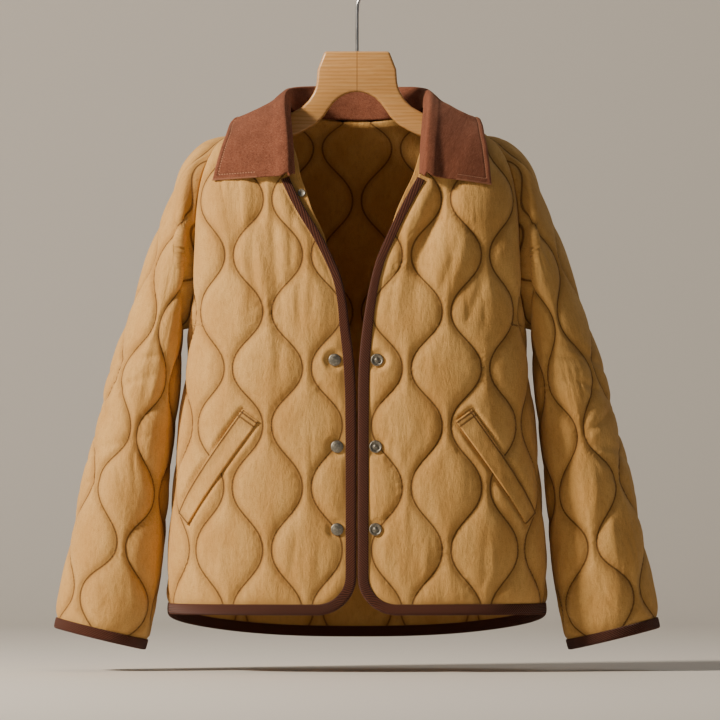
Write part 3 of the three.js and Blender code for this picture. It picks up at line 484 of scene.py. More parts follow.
def quiltLines(s, h, firstLine, zero, longer=0.0):
    # signed distance to the nearest quilting line and the length along it; the sign turns
    # over from one line to the next, so that it runs on across the middle of each cell
    low = longer * np.maximum(0, cloth["lowBelow"] - h)
    a = math.pi * (h + low - zero) / cloth["halfWave"]
    wave = 1.03 * np.cos(a) - 0.03 * np.cos(3 * a)
    pace = (1 - longer * (h < cloth["lowBelow"])) * math.pi / cloth["halfWave"]
    slopeOfWave = -(1.03 * np.sin(a) - 0.09 * np.sin(3 * a)) * pace
    nearest = np.full(s.shape, 1e9)
    lineAlong = np.zeros_like(s)
    k0 = np.floor((s - firstLine) / cloth["lineStep"])
    for shift in [-1, 0, 1, 2]:
        k = k0 + shift
        way = np.where(k % 2 == 1, -1.0, 1.0)
        line = firstLine + k * cloth["lineStep"] + way * cloth["lineSwing"] * wave
        slope = way * cloth["lineSwing"] * slopeOfWave
        distance = way * (s - line) / np.sqrt(1 + (0.8 * slope) ** 2)
        closer = np.abs(distance) < np.abs(nearest)
        nearest = np.where(closer, distance, nearest)
        run = h * 1.17 + 0.45 * slope * cloth["halfWave"] / math.pi + k * 31.7
        lineAlong = np.where(closer, run, lineAlong)
    return nearest, lineAlong


def quiltHeight(s, h, distance, lineAlong, margin, seed):
    # t = seam + loft (1 - exp(-d/9)), with a round-bottomed valley at each line,
    # puckers across the stitching and soft upright creases on the puffs
    d = np.sqrt(distance**2 + 0.8**2) - 0.8
    puff = 1 - np.exp(-d / cloth["loftReach"])
    t = cloth["seamThick"] + cloth["loft"] * puff
    wander = softNoise(s / 23, h / 17, seed + 1) * 4
    ripple = np.sin(2 * math.pi * (lineAlong / 9.4 + wander + 0.1 * distance))
    strength = 0.45 + 0.75 * softNoise(s / 17, h / 15, seed + 2)
    near = np.exp(-np.abs(distance) / 6.5) * (1 - np.exp(-np.abs(distance) / 1.4))
    t = t + cloth["pucker"] * 2.2 * ripple * near * strength
    lean = h + 14 * softNoise(s / 60, h / 90, seed + 3)
    bend = s + 6 * softNoise(s / 50, h / 45, seed + 4)
    creases = softNoise(bend / 10.5, lean / 58, seed + 5)
    furrow = np.exp(-np.abs(softNoise(bend / 17, lean / 75, seed + 6)) / 0.16)
    fine = softNoise(bend / 4.6, lean / 30, seed + 7) * 0.3
    broad = softNoise(s / 38, h / 60, seed + 8) * 0.9
    patchy = 0.55 + 0.6 * softNoise(s / 44, h / 52, seed + 9)
    t = t + cloth["crease"] * ((creases - 0.8 * furrow + fine) * patchy + broad * 0.6) * puff
    edge = np.maximum(0.2, margin)
    flat = 1 - np.exp(-edge / 7)
    t = cloth["seamThick"] + (t - cloth["seamThick"]) * flat
    gather = np.sin(2 * math.pi * (s / 11.5 + 0.8 * softNoise(s / 31, h / 40, seed + 10)))
    t = t + 0.55 * gather * np.exp(-edge / 9) * (1 - np.exp(-edge / 2.5)) * strength
    return np.maximum(t, 1.2)


# Meshes


def toMetres(points):
    moved = np.array(points, float).reshape(-1, 3)
    moved[:, 2] -= hookUp
    return moved * 0.001


def addPiece(name, points, faces, uvs, material, replaced, outwards=None):
    mesh = bpy.data.meshes.new(name)
    vertices = toMetres(points)
    mesh.from_pydata(vertices.tolist(), [], faces)
    mesh.update()
    corners = np.empty(len(mesh.loops), dtype=np.int32)
    mesh.loops.foreach_get("vertex_index", corners)
    for layerName, values in uvs.items():
        layer = mesh.uv_layers.new(name=layerName)
        layer.data.foreach_set("uv", (values.reshape(-1, 2)[corners] * 0.001).astype(np.float32).ravel())
    mesh.polygons.foreach_set("use_smooth", np.ones(len(mesh.polygons), dtype=bool))
    mesh.materials.append(material)
    piece = bpy.data.objects.new(name, mesh)
    bpy.context.scene.collection.objects.link(piece)
    if outwards is not None:
        point, direction = outwards
        middle = mesh.polygons[point]
        if np.dot(np.array(middle.normal), direction) < 0:
            mesh.flip_normals()
    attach(piece, "root")
    if replaced:
        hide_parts(*replaced)
    triangles = sum(len(p.vertices) - 2 for p in mesh.polygons)
    print(f"jacket: {name}, {triangles} triangles")
    return piece


def gridQuads(rows, columns, first=0, closed=False):
    i = np.arange(rows - 1)[:, None]
    j = np.arange(columns if closed else columns - 1)[None, :]
    k = (j + 1) % columns
    this, after = i * columns, (i + 1) * columns
    quads = np.stack([this + j, this + k, after + k, after + j], axis=-1)
    return quads.reshape(-1, 4) + first


def shellPiece(name, outer, inner, stride, uvs, material, replaced):
    # an outer grid of points over an inner one with fewer, joined round the edge
    rows, columns = outer.shape[:2]
    coarse = inner[::stride, ::stride]
    r, c = coarse.shape[:2]
    first = rows * columns
    faces = gridQuads(rows, columns).tolist() + gridQuads(r, c, first)[:, ::-1].tolist()
    for inner0, inner1, run in borderRuns(rows, columns, r, c, stride, first):
        faces.append(run + [inner1, inner0])
    points = np.concatenate([outer.reshape(-1, 3), coarse.reshape(-1, 3)])
    layers = {}
    for layerName, values in uvs.items():
        layers[layerName] = np.concatenate([values.reshape(-1, 2), values[::stride, ::stride].reshape(-1, 2)])
    middle = (rows // 2) * (columns - 1) + columns // 2
    push = outer[rows // 2, columns // 2] - inner[rows // 2, columns // 2]
    return addPiece(name, points, faces, layers, material, replaced, (middle, push))


def borderRuns(rows, columns, r, c, stride, first):
    # for each inner edge on the border: its two points and the outer points beside it
    runs = []
    for j in range(c - 1):
        bottom = [j * stride + k for k in range(stride, -1, -1)]
        top = [(rows - 1) * columns + j * stride + k for k in range(stride + 1)]
        runs.append((first + j + 1, first + j, bottom))
        runs.append((first + (r - 1) * c + j, first + (r - 1) * c + j + 1, top))
    for i in range(r - 1):
        left = [(i * stride + k) * columns for k in range(stride + 1)]
        right = [(i * stride + k) * columns + columns - 1 for k in range(stride, -1, -1)]
        runs.append((first + i * c, first + (i + 1) * c, left))
        runs.append((first + (i + 1) * c + c - 1, first + i * c + c - 1, right))
    return runs


def steps(size, stride, gridStep):
    # a number of grid lines that the stride divides evenly
    return int(math.ceil(size / gridStep / stride)) * stride + 1


# Materials


def srgb(code):
    # a colour written as sRGB hex, turned to linear
    values = [int(code[i : i + 2], 16) / 255 for i in (1, 3, 5)]
    return tuple(v / 12.92 if v <= 0.04045 else ((v + 0.055) / 1.055) ** 2.4 for v in values) + (1.0,)


def addNode(tree, kind, inputs=None, **settings):
    node = tree.nodes.new(kind)
    for name, value in settings.items():
        setattr(node, name, value)
    for name, value in (inputs or {}).items():
        if isinstance(value, bpy.types.NodeSocket):
            tree.links.new(value, node.inputs[name])
        else:
            node.inputs[name].default_value = value
    return node


def uvMap(tree, name):
    return addNode(tree, "ShaderNodeUVMap", uv_map=name).outputs[0]


def separated(tree, vector):
    return addNode(tree, "ShaderNodeSeparateXYZ", {0: vector}).outputs


def stained(tree, base, look, layers):
    # lays named colours over a base one by one, each where a value lies between two limits
    for value, limits, colour in layers:
        base = blendColour(tree, ramp(tree, value, *limits), base, srgb(look[colour]))
    return base


def newMaterial(name, **settings):
    material = bpy.data.materials.new(name)
    material.use_nodes = True
    tree = material.node_tree
    shader = tree.nodes["Principled BSDF"]
    for socket, value in settings.items():
        shader.inputs[socket.replace("_", " ")].default_value = value
    return material, tree, shader


def calc(tree, operation, a, b=0.0, c=0.0):
    return addNode(tree, "ShaderNodeMath", {0: a, 1: b, 2: c}, operation=operation).outputs[0]


def ramp(tree, value, low, high, start=0.0, end=1.0):
    inputs = {"Value": value, "From Min": low, "From Max": high, "To Min": start, "To Max": end}
    return addNode(tree, "ShaderNodeMapRange", inputs, interpolation_type="SMOOTHSTEP").outputs[0]


def blendColour(tree, share, a, b, way="MIX"):
    node = addNode(tree, "ShaderNodeMix", {"Factor": share}, data_type="RGBA", blend_type=way)
    for socket, value in [(node.inputs[6], a), (node.inputs[7], b)]:
        if isinstance(value, bpy.types.NodeSocket):
            tree.links.new(value, socket)
        else:
            socket.default_value = value
    return node.outputs[2]


def noise(tree, vector, scale, detail=2.0, roughness=0.5):
    inputs = {"Vector": vector, "Scale": scale, "Detail": detail, "Roughness": roughness}
    return addNode(tree, "ShaderNodeTexNoise", inputs).outputs["Fac"]


def stretched(tree, vector, scale):
    return addNode(tree, "ShaderNodeMapping", {"Vector": vector, "Scale": scale}).outputs[0]


def bump(tree, height, distance, strength=1.0, before=None):
    inputs = {"Height": height, "Distance": distance, "Strength": strength}
    if before is not None:
        inputs["Normal"] = before
    return addNode(tree, "ShaderNodeBump", inputs).outputs[0]


quiltedCottonLook = {
    "cloth": "#CB9A56",
    "paler": "#DAAC66",
    "deeper": "#A87A40",
    "thread": "#8A5E2C",
    "paintedShade": "#8E6432",  # painted shade: the cloth beside a stitch line, darkened as if shadow fell in the valley
    # painted shade for the crease of each quilting line
    "paintedGrooveShade": "#46290D",
    "sheen": "#F2DDB8",
    "stitchLong": 3.2,  # mm from one stitch to the next
    "weave": 1.1,  # mm between threads: the real 0.3 mm is too fine to show
}


def quiltedCottonMaterial():
    # washed cotton over wadding, woven and stitched: matt, faintly napped, with slubs and
    # crinkles along the cloth, and short thread dashes sunk in each quilting line
    look = quiltedCottonLook
    material, tree, shader = newMaterial(
        "quilted_washed_cotton",
        Roughness=0.86,
        Sheen_Weight=0.22,
        Sheen_Roughness=0.45,
        Sheen_Tint=srgb(look["sheen"]),
        Specular_IOR_Level=0.28,
        IOR=1.46,
    )
    flat, line = uvMap(tree, "cloth"), separated(tree, uvMap(tree, "stitch"))
    away = calc(tree, "ABSOLUTE", line[0])
    stitch = look["stitchLong"] * 0.001
    dash = calc(tree, "SINE", calc(tree, "MULTIPLY", line[1], 2 * math.pi / stitch))
    dash = ramp(tree, dash, -0.55, -0.1)
    onLine = ramp(tree, away, 0.00085, 0.00035)
    thread = calc(tree, "MULTIPLY", onLine, dash)
    # painted shade: a dark colour within 1.7 mm of each quilting line, in its crease
    paintedGrooveShade = ramp(tree, away, 0.0017, 0.0003)
    slub = noise(tree, stretched(tree, flat, (900, 140, 1)), 1.0, 3.0, 0.6)
    slubAcross = noise(tree, stretched(tree, flat, (160, 950, 1)), 1.0, 2.0, 0.6)
    cloudy = noise(tree, stretched(tree, flat, (26, 14, 1)), 1.0, 3.0, 0.55)
    crinkle = noise(tree, stretched(tree, flat, (230, 90, 1)), 1.0, 4.0, 0.62)
    base = blendColour(tree, ramp(tree, cloudy, 0.3, 0.7), srgb(look["cloth"]), srgb(look["paler"]))
    nap = noise(tree, stretched(tree, flat, (1050, 760, 1)), 1.0, 4.0, 0.72)
    layers = [
        (slub, (0.5, 0.75, 0.0, 0.35), "deeper"),
        (crinkle, (0.52, 0.3, 0.0, 0.3), "deeper"),
        (nap, (0.56, 0.34, 0.0, 0.45), "deeper"),
        # painted shade: the cloth darkened within 9.5 mm of a stitch line, most towards it
        (away, (0.0095, 0.0008, 0.0, 0.4), "paintedShade"),
    ]
    base = stained(tree, base, look, layers)
    # the painted shade laid into the crease of each stitch line
    base = blendColour(tree, calc(tree, "MULTIPLY", paintedGrooveShade, 0.8), base, srgb(look["paintedGrooveShade"]))
    base = blendColour(tree, calc(tree, "MULTIPLY", thread, 0.75), base, srgb(look["thread"]))
    tree.links.new(base, shader.inputs["Base Color"])
    threads = 2 * math.pi / (look["weave"] * 0.001)
    flatParts = separated(tree, flat)
    warp = calc(tree, "SINE", calc(tree, "MULTIPLY", flatParts[0], threads))
    weft = calc(tree, "SINE", calc(tree, "MULTIPLY", flatParts[1], threads))
    weave = calc(tree, "MULTIPLY", warp, weft)
    height = calc(tree, "MULTIPLY_ADD", weave, 0.05, calc(tree, "MULTIPLY", slub, 0.5))
    height = calc(tree, "MULTIPLY_ADD", slubAcross, 0.4, height)
    height = calc(tree, "MULTIPLY_ADD", nap, 0.9, height)
    fineNormal = bump(tree, height, 0.0008, 0.75)
    crinkleNormal = bump(tree, crinkle, 0.0022, 0.55, fineNormal)
    seat = calc(tree, "SUBTRACT", calc(tree, "MULTIPLY", thread, 0.6), onLine)
    tree.links.new(bump(tree, seat, 0.0009, 0.8, crinkleNormal), shader.inputs["Normal"])
    return material


# ridge is a painted highlight for the ribs' tops; twill, the tape's dark colour, also stands as painted shade
# in the furrows
bindingLook = {"twill": "#2E150C", "ridge": "#7A422B", "rib": 3.0, "slope": 0.9}


def bindingMaterial():
    # cotton twill tape, woven with a steep rib: matt, the ribs' tops painted paler and the furrows painted
    # darker, as painted highlight and shade
    look = bindingLook
    material, tree, shader = newMaterial(
        "cotton_twill_tape", Roughness=0.85, Sheen_Weight=0.12, Specular_IOR_Level=0.25, IOR=1.46
    )
    flat = uvMap(tree, "cloth")
    parts = separated(tree, flat)
    slanted = calc(tree, "ADD", parts[0], calc(tree, "MULTIPLY", parts[1], look["slope"]))
    phase = calc(tree, "MULTIPLY", slanted, 2 * math.pi / (look["rib"] * 0.001))
    rib = calc(tree, "SINE", phase)
    fibre = noise(tree, stretched(tree, flat, (900, 900, 1)), 1.0, 3.0, 0.6)
    # painted highlight and shade: the ribs' tops mixed towards the ridge colour, the furrows left dark
    share = calc(tree, "MULTIPLY", ramp(tree, rib, -0.6, 0.9), ramp(tree, fibre, 0.25, 0.7, 0.45, 1.0))
    base = blendColour(tree, share, srgb(look["twill"]), srgb(look["ridge"]))
    tree.links.new(base, shader.inputs["Base Color"])
    height = calc(tree, "MULTIPLY_ADD", fibre, 0.35, calc(tree, "MULTIPLY", rib, 0.35))
    tree.links.new(bump(tree, height, 0.0016, 0.95), shader.inputs["Normal"])
    return material


collar = {"thick": 3.2, "stitchIn": 6.6, "step": 1.6}

woolLook = {
    "felt": "#7A4733",
    "pale": "#94604A",
    # dark serves the fibres' darker tone and the painted shade in the stitch furrow
    "dark": "#4A261A",
    "thread": "#B98668",
    # edge is a painted highlight along the collar's rim
    "edge": "#A5765D",
    "sheen": "#D09A80",
    "stitchLong": 3.4,
}


def woolMaterial():
    # fulled wool, pressed: matt with a short nap and a painted highlight along the rim, mottled by
    # mixed fibres, and a row of stitching inside the edge with painted shade in its furrow
    look = woolLook
    material, tree, shader = newMaterial(
        "fulled_wool",
        Roughness=0.95,
        Sheen_Weight=0.35,
        Sheen_Roughness=0.5,
        Sheen_Tint=srgb(look["sheen"]),
        Specular_IOR_Level=0.15,
        IOR=1.5,
    )
    flat, line = uvMap(tree, "cloth"), separated(tree, uvMap(tree, "stitch"))
    away = calc(tree, "ABSOLUTE", calc(tree, "SUBTRACT", line[0], collar["stitchIn"] * 0.001))
    beat = calc(tree, "MULTIPLY", line[1], 2 * math.pi / (look["stitchLong"] * 0.001))
    dash = ramp(tree, calc(tree, "SINE", beat), -0.5, 0.0)
    onLine = ramp(tree, away, 0.0009, 0.0004)
    thread = calc(tree, "MULTIPLY", onLine, dash)
    # painted shade for the furrow along the topstitching
    furrow = ramp(tree, away, 0.0024, 0.0004)
    mottle = noise(tree, stretched(tree, flat, (420, 300, 1)), 1.0, 5.0, 0.75)
    cloudy = noise(tree, stretched(tree, flat, (60, 60, 1)), 1.0, 3.0, 0.6)
    fibre = noise(tree, stretched(tree, flat, (1500, 500, 1)), 1.0, 3.0, 0.7)
    base = blendColour(tree, ramp(tree, mottle, 0.35, 0.68), srgb(look["felt"]), srgb(look["pale"]))
    layers = [
        (fibre, (0.6, 0.36, 0.0, 0.6), "dark"),
        (cloudy, (0.35, 0.7, 0.0, 0.3), "dark"),
        # painted highlight: the colour paler within 2.2 mm of the collar's rim
        (line[0], (0.0022, 0.0002, 0.0, 0.7), "edge"),
    ]
    base = stained(tree, base, look, layers)
    # painted shade: the furrow beside the topstitching darkened
    base = blendColour(tree, calc(tree, "MULTIPLY", furrow, 0.45), base, srgb(look["dark"]))
    base = blendColour(tree, calc(tree, "MULTIPLY", thread, 0.7), base, srgb(look["thread"]))
    tree.links.new(base, shader.inputs["Base Color"])
    nap = calc(tree, "MULTIPLY_ADD", fibre, 0.5, mottle)
    napNormal = bump(tree, nap, 0.0012, 0.6)
    seat = calc(tree, "SUBTRACT", calc(tree, "MULTIPLY", thread, 0.7), onLine)
    tree.links.new(bump(tree, seat, 0.0008, 0.8, napNormal), shader.inputs["Normal"])
    return material


def gunmetalMaterial():
    # blackened brass, stamped and tumbled: a soft dark metal shine with finger-worn patches
    material, tree, shader = newMaterial("gunmetal_plated_brass", Metallic=1.0)
    place = addNode(tree, "ShaderNodeTexCoord").outputs["Object"]
    worn = noise(tree, place, 420, 3.0, 0.6)
    colour = blendColour(tree, ramp(tree, worn, 0.4, 0.7), srgb("#7E7A70"), srgb("#A09B8E"))
    tree.links.new(colour, shader.inputs["Base Color"])
    tree.links.new(ramp(tree, worn, 0.3, 0.7, 0.42, 0.56), shader.inputs["Roughness"])
    tree.links.new(bump(tree, noise(tree, place, 1600, 2.0), 0.00008, 0.4), shader.inputs["Normal"])
    return material


beechLook = {"wood": "#CF9A5C", "late": "#B8823F", "ray": "#E0B478", "joint": "#8A5A2C"}


def beechMaterial():
    # beech, sanded and lacquered: warm straight grain across the block, short flecks, a thin
    # clear coat, and the glued joint down the middle
    look = beechLook
    material, tree, shader = newMaterial(
        "lacquered_beech", Roughness=0.42, Coat_Weight=0.25, Coat_Roughness=0.2, IOR=1.5
    )
    place = addNode(tree, "ShaderNodeTexCoord").outputs["Object"]
    bent = noise(tree, stretched(tree, place, (3, 18, 18)), 1.0, 3.0, 0.5)
    grain = noise(tree, stretched(tree, place, (22, 300, 300)), 1.0, 4.0, 0.6)
    rings = addNode(
        tree,
        "ShaderNodeTexWave",
        {"Vector": stretched(tree, place, (1.4, 10, 10)), "Scale": 7.0, "Distortion": 5.0, "Detail": 3.0},
        wave_type="BANDS",
        bands_direction="Z",
    ).outputs["Fac"]
    flecks = noise(tree, stretched(tree, place, (160, 900, 900)), 1.0, 2.0, 0.5)
    base = blendColour(tree, ramp(tree, rings, 0.2, 0.9, 0.0, 0.55), srgb(look["wood"]), srgb(look["late"]))
    layers = [
        (grain, (0.45, 0.75, 0.0, 0.5), "ray"),
        (flecks, (0.62, 0.75, 0.0, 0.45), "late"),
        (bent, (0.35, 0.75, 0.0, 0.25), "late"),
        (calc(tree, "ABSOLUTE", separated(tree, place)[0]), (0.0009, 0.0003, 0.0, 0.7), "joint"),
    ]
    base = stained(tree, base, look, layers)
    tree.links.new(base, shader.inputs["Base Color"])
    tree.links.new(bump(tree, grain, 0.0004, 0.35), shader.inputs["Normal"])
    return material


def steelMaterial():
    # bright zinc-plated steel wire, drawn: fine scratches along it
    material, tree, shader = newMaterial("bright_steel_wire", Metallic=1.0)
    shader.inputs["Base Color"].default_value = srgb("#C9CACB")
    place = addNode(tree, "ShaderNodeTexCoord").outputs["Object"]
    drawn = noise(tree, stretched(tree, place, (2600, 2600, 40)), 1.0, 2.0)
    tree.links.new(ramp(tree, drawn, 0.3, 0.7, 0.2, 0.36), shader.inputs["Roughness"])
    return material


quiltedCotton = quiltedCottonMaterial()
twillTape = bindingMaterial()
fulledWool = woolMaterial()
gunmetal = gunmetalMaterial()
beech = beechMaterial()
steel = steelMaterial()

# The body panels

quiltUp = float(along(cloth["frontWaveUp"], False))
hemAlong = float(along(0, False))
bindingWide = 11.0
welt = {"across": 173.0, "up": 175.0, "long": 155.0, "wide": 24.0, "tilt": 36.0, "thick": 3.2, "seat": 2.6}
weltStitch = {"side": 2.8, "end": 3.0, "secondEnd": 8.5}  # each row's distance in from an edge
snap = {"fromRight": 21.0, "fromLeft": 19.4, "ups": [101, 200, 304], "capR": 7.6, "thick": 2.8, "seat": 2.2}
sideWords = {-1: "right", 1: "left"}


def weltPlace(b, a):
    # b across the welt and a along it, downwards
    tilt = math.radians(welt["tilt"])
    start = float(along(welt["up"], False))
    s = welt["across"] + a * math.sin(tilt) + b * math.cos(tilt)
    return s, start - a * math.cos(tilt) + b * math.sin(tilt)


def weltFrame(s, h):
    # the way back: places on the cloth as b across the welt and a along it
    tilt = math.radians(welt["tilt"])
    ds, dh = s - welt["across"], h - float(along(welt["up"], False))
    return ds * math.cos(tilt) + dh * math.sin(tilt), ds * math.sin(tilt) - dh * math.cos(tilt)


def snapPlaces(side):
    ups = np.array(snap["ups"], float)
    return frontEdge(side, ups) + snap["fromRight" if side < 0 else "fromLeft"], along(ups, False)


# How far round a snap or a welt the padding is pressed flat, and over what width it rises again.
pressed = {"snap": 15.5, "snapRise": 6.5, "welt": 5.5, "weltRise": 4.5}


def seatSnapsAndWelt(side, s, h, t):
    for snapS, snapH in zip(*snapPlaces(side)):
        reach = np.hypot(s - snapS, h - snapH)
        t = mix(t, np.minimum(t, snap["seat"] - 0.1), soft((pressed["snap"] - reach) / pressed["snapRise"]))
    b, a = weltFrame(s, h)
    pastSide = np.maximum(np.abs(b) - welt["wide"] / 2, 0)
    pastEnd = np.maximum(np.abs(a) - welt["long"] / 2, 0)
    outside = np.hypot(pastSide, pastEnd)
    return mix(t, np.minimum(t, welt["seat"]), soft((pressed["welt"] - outside) / pressed["weltRise"]))


def panelMargin(side, s, h):
    # distance from a panel's seams and from its binding
    back, across = side == 0, np.abs(s)
    up = upAt(h, back)
    seam = np.minimum(nearSeam(across, h, back)[0], np.maximum(0, quarterLength(up, back) - across))
    if back:
        hem = backHemUp(across / quarterLength(up, True))
        return np.minimum(seam, h - along(hem, True) - bindingWide)
    a, b, r = s - frontEdge(side, up), h - hemAlong, hemCorner
    corner = (a < r) & (b < r)
    bound = np.where(corner, r - np.hypot(r - a, r - b), np.minimum(a, b))
    return np.minimum(seam, bound - bindingWide)


def clothUvs(s, h, fromLine, alongLine):
    # the flat cloth, and the place beside the nearest line of stitching
    return {"cloth": np.stack([s, h], axis=-1), "stitch": np.stack([fromLine, alongLine], axis=-1)}


def quiltedPanel(name, carry, s, h, t, uvs, stride, replaced):
    # the cloth at its thickness t over a plain inside, carried to the figure
    outer, inner = carry(s, h, t), carry(s, h, 0.0)
    return shellPiece(name, outer, inner, stride, uvs, quiltedCotton, [replaced])


def onPuff(distance):
    return 1 - np.exp(-np.abs(distance) / cloth["creaseFade"])


def backHemUp(share):
    return -backDrop * np.cos(math.pi / 2 * np.minimum(1, np.abs(share)) ** 1.3)


def frontLeft(side, h):
    # the front's inner outline: the rounded hem corner, the cut edge and the neckline
    up, a = upAt(h, False), h - hemAlong
    edge = frontEdge(side, up)
    cornerEdge = frontEdge(side, upAt(hemAlong + hemCorner, False))
    inner = np.clip(hemCorner - a, 0, hemCorner)
    edge = np.where(a < hemCorner, cornerEdge + hemCorner - np.sqrt(hemCorner**2 - inner**2), edge)
    ups = np.array([neckEndUp] + frontNeckRows["up"] + [neckPointUp])
    middle = acrossAt(ups[1:3], False, np.array(frontNeckRows["x"]))
    neck = [frontEdge(side, neckEndUp), middle[0], middle[1], seamAt(neckPointUp, False) - 0.5]
    return np.where(up > neckEndUp, np.interp(up, ups, neck), edge)


def frontPanel(side):
    word, stride = sideWords[side], 3
    top = float(along(neckPointUp, False))
    rows = steps(top, stride, cloth["gridStep"])
    columns = steps(gridSpan["front"], stride, cloth["gridStep"])
    h = np.linspace(hemAlong, top, rows)[:, None] + np.zeros((1, columns))
    left, right = frontLeft(side, h[:, :1]), seamAt(upAt(h[:, :1], False), False)
    s = mix(left, right, np.linspace(0, 1, columns)[None, :])
    distance, lineAlong = quiltLines(s, h, cloth["frontLine"], quiltUp, cloth["lowLonger"])
    margin = panelMargin(side, s, h)
    t = quiltHeight(s, h, distance, lineAlong, margin, seeds["front"][side])
    t = np.maximum(t + creaseDepth(side, s, h) * onPuff(distance), cloth["least"])
    t = seatSnapsAndWelt(side, s, h, t)
    carry = lambda a, b, c: wear(side, a, b, c)
    uvs = clothUvs(s, h, distance, lineAlong)
    return quiltedPanel(f"front_panel_{word}", carry, s, h, t, uvs, stride, f"front_{word}"), s, h


def backPanel():
    stride = 3
    top = float(along(neckPointUp, True))
    rows = steps(top + 24, stride, cloth["gridStep"])
    columns = steps(gridSpan["back"], stride, cloth["gridStep"] * 1.06)
    level = np.linspace(0, neckPointUp, rows)[:, None]
    u = np.linspace(-1, 1, columns)[None, :]
    drop = along(backHemUp(u), True) - along(0, True)
    neckUps = np.array(backNeckRows["up"])
    neckShares = acrossAt(neckUps, True, np.array(backNeckRows["x"])) / seamAt(neckUps, True)
    neckAlong = along(np.append(neckUps, neckPointUp), True)
    neckDrop = np.interp(np.abs(u), np.append(neckShares, 1.0), neckAlong) - top
    h = along(level, True) + drop * np.clip(1 - level / 300, 0, 1) + neckDrop * soft((level - 500) / 103)
    s = u * seamAt(upAt(h, True), True)
    distance, lineAlong = quiltLines(s, h, cloth["lineStep"] / 2, quiltUp, cloth["lowLonger"])
    t = quiltHeight(s, h, distance, lineAlong, panelMargin(0, s, h), seeds["back"])
    carry = lambda a, b, c: wear(0, a, b, c)
    uvs = clothUvs(s, h, distance, lineAlong)
    return quiltedPanel("back_panel", carry, s, h, t, uvs, stride, "back"), s, h


def sleevePanel(side):
    word, stride = sideWords[side], 2
    rows = steps(gridSpan["sleeveLong"], stride, cloth["gridStep"] * 1.05)
    columns = steps(gridSpan["sleeveRound"], stride, cloth["gridStep"])
    u = np.linspace(-1, 1, columns)[None, :]
    angle = u * math.pi * 0.9995
    length = sleeveTop(angle) - 0.8
    h = np.linspace(0, 1, rows)[:, None] * length
    s = u * (sleeveHalf(h) - cloth["seamGap"] / 2)
    distance, lineAlong = quiltLines(s, h, cloth["sleeveLine"], cloth["sleeveWaveUp"])
    margin = np.minimum(np.minimum(h - bindingWide, sleeveTop(angle) - h), sleeveHalf(h) - np.abs(s))
    t = quiltHeight(s, h, distance, lineAlong, margin, seeds["sleeve"][side])
    troughs = wrinkleDepth(s, h, math.pi * s / sleeveHalf(h)) * (1 - np.exp(-np.maximum(margin, 0) / 9))
    t = np.maximum(t + troughs * (0.35 + 0.65 * onPuff(distance)), cloth["least"])
    carry = lambda a, b, c: wearSleeve(side, a, b, c)
    uvs = clothUvs(s, h, distance, lineAlong)
    return quiltedPanel(f"sleeve_panel_{word}", carry, s, h, t, uvs, stride, f"sleeve_{word}"), s, h


# The bindings: a folded tape whose section is carried along each edge

tape = {"wide": 11.0, "thick": 1.4, "gap": 0.6, "rib": 3.0, "ribHigh": 0.28, "step": 0.95}
neckNarrow = {"from": 290.0, "to": 420.0, "share": 0.74}  # the front tape narrows to the neck


def tapeSection():
    # the folded tape's section: distance in from the edge, and height over the cloth's inner face
    wide, g, b = tape["wide"], tape["gap"], tape["thick"]
    top = cloth["seamThick"] + g
    turn = np.linspace(0, math.pi, 9)[1:-1]
    middle, radius = (top + b - g - b) / 2, (top + b + g + b) / 2
    fold = [(-g - b + radius * 0.62 * (1 - math.sin(a)), middle + radius * math.cos(a)) for a in turn]
    places = [10.6, 9.3, 7.6, 5.6, 3.6, 1.6]
    upper = [(d, top + b + 0.25 * math.sin(math.pi * (wide - d) / wide)) for d in places]
    lower = [(d, -g - b) for d in [1.6, 4.6, 7.6, 10.6]]
    inner = [(wide, -g - b * 0.5), (wide - 0.3, -g), (0.6, -g), (-g, middle), (0.6, top), (wide - 0.3, top)]
    return np.array([(wide, top + b * 0.5)] + upper + fold + lower + inner)


def tapePiece(name, s, h, inS, inH, place, closed, replaced, share=1.0):
    profile = tapeSection()
    steps1 = np.hypot(np.diff(s), np.diff(h))
    run = np.concatenate([[0], np.cumsum(steps1)])
    ribs = max(1, round(run[-1] / tape["rib"]))
    run = run * ribs * tape["rib"] / run[-1]
    girth = np.concatenate([[0], np.cumsum(np.linalg.norm(np.diff(profile, axis=0), axis=1))])
    phase = 2 * math.pi * (run[:, None] + bindingLook["slope"] * girth[None, :]) / tape["rib"]
    d, t = profile[None, :, 0] + np.zeros((len(s), 1)), profile[None, :, 1] + np.zeros((len(s), 1))
    middle = cloth["seamThick"] / 2
    shown = (np.arange(len(profile)) < len(profile) - 6)[None, :]
    t = t + shown * tape["ribHigh"] * np.sin(phase) * np.sign(t - middle) * (np.abs(t - middle) > 2)
    d = np.where(d > 0, d * share, d) - shown * tape["ribHigh"] * np.sin(phase) * (d < 0)
    points = place(s[:, None] + inS[:, None] * d, h[:, None] + inH[:, None] * d, t)
    count = len(profile)
    uv = np.stack([run[:, None] + 0 * girth[None, :], girth[None, :] + 0 * run[:, None]], axis=-1)
    if closed:
        points, uv = points[:-1], uv[:-1]
    rows = len(points)
    i = np.arange(rows if closed else rows - 1)[:, None]
    j = np.arange(count)[None, :]
    ni, nj = (i + 1) % rows, (j + 1) % count
    corners = [i * count + j, i * count + nj, ni * count + nj, ni * count + j]
    faces = np.stack(corners, axis=-1).reshape(-1, 4).tolist()
    if not closed:
        faces.append(list(range(count))[::-1])
        faces.append([(rows - 1) * count + k for k in range(count)])
    middleFace = (rows // 2) * count + 3
    push = points[rows // 2, 3] - points[rows // 2, count - 4]
    outwards = (middleFace, push)
    return addPiece(name, points, faces, {"cloth": uv}, twillTape, replaced, outwards)


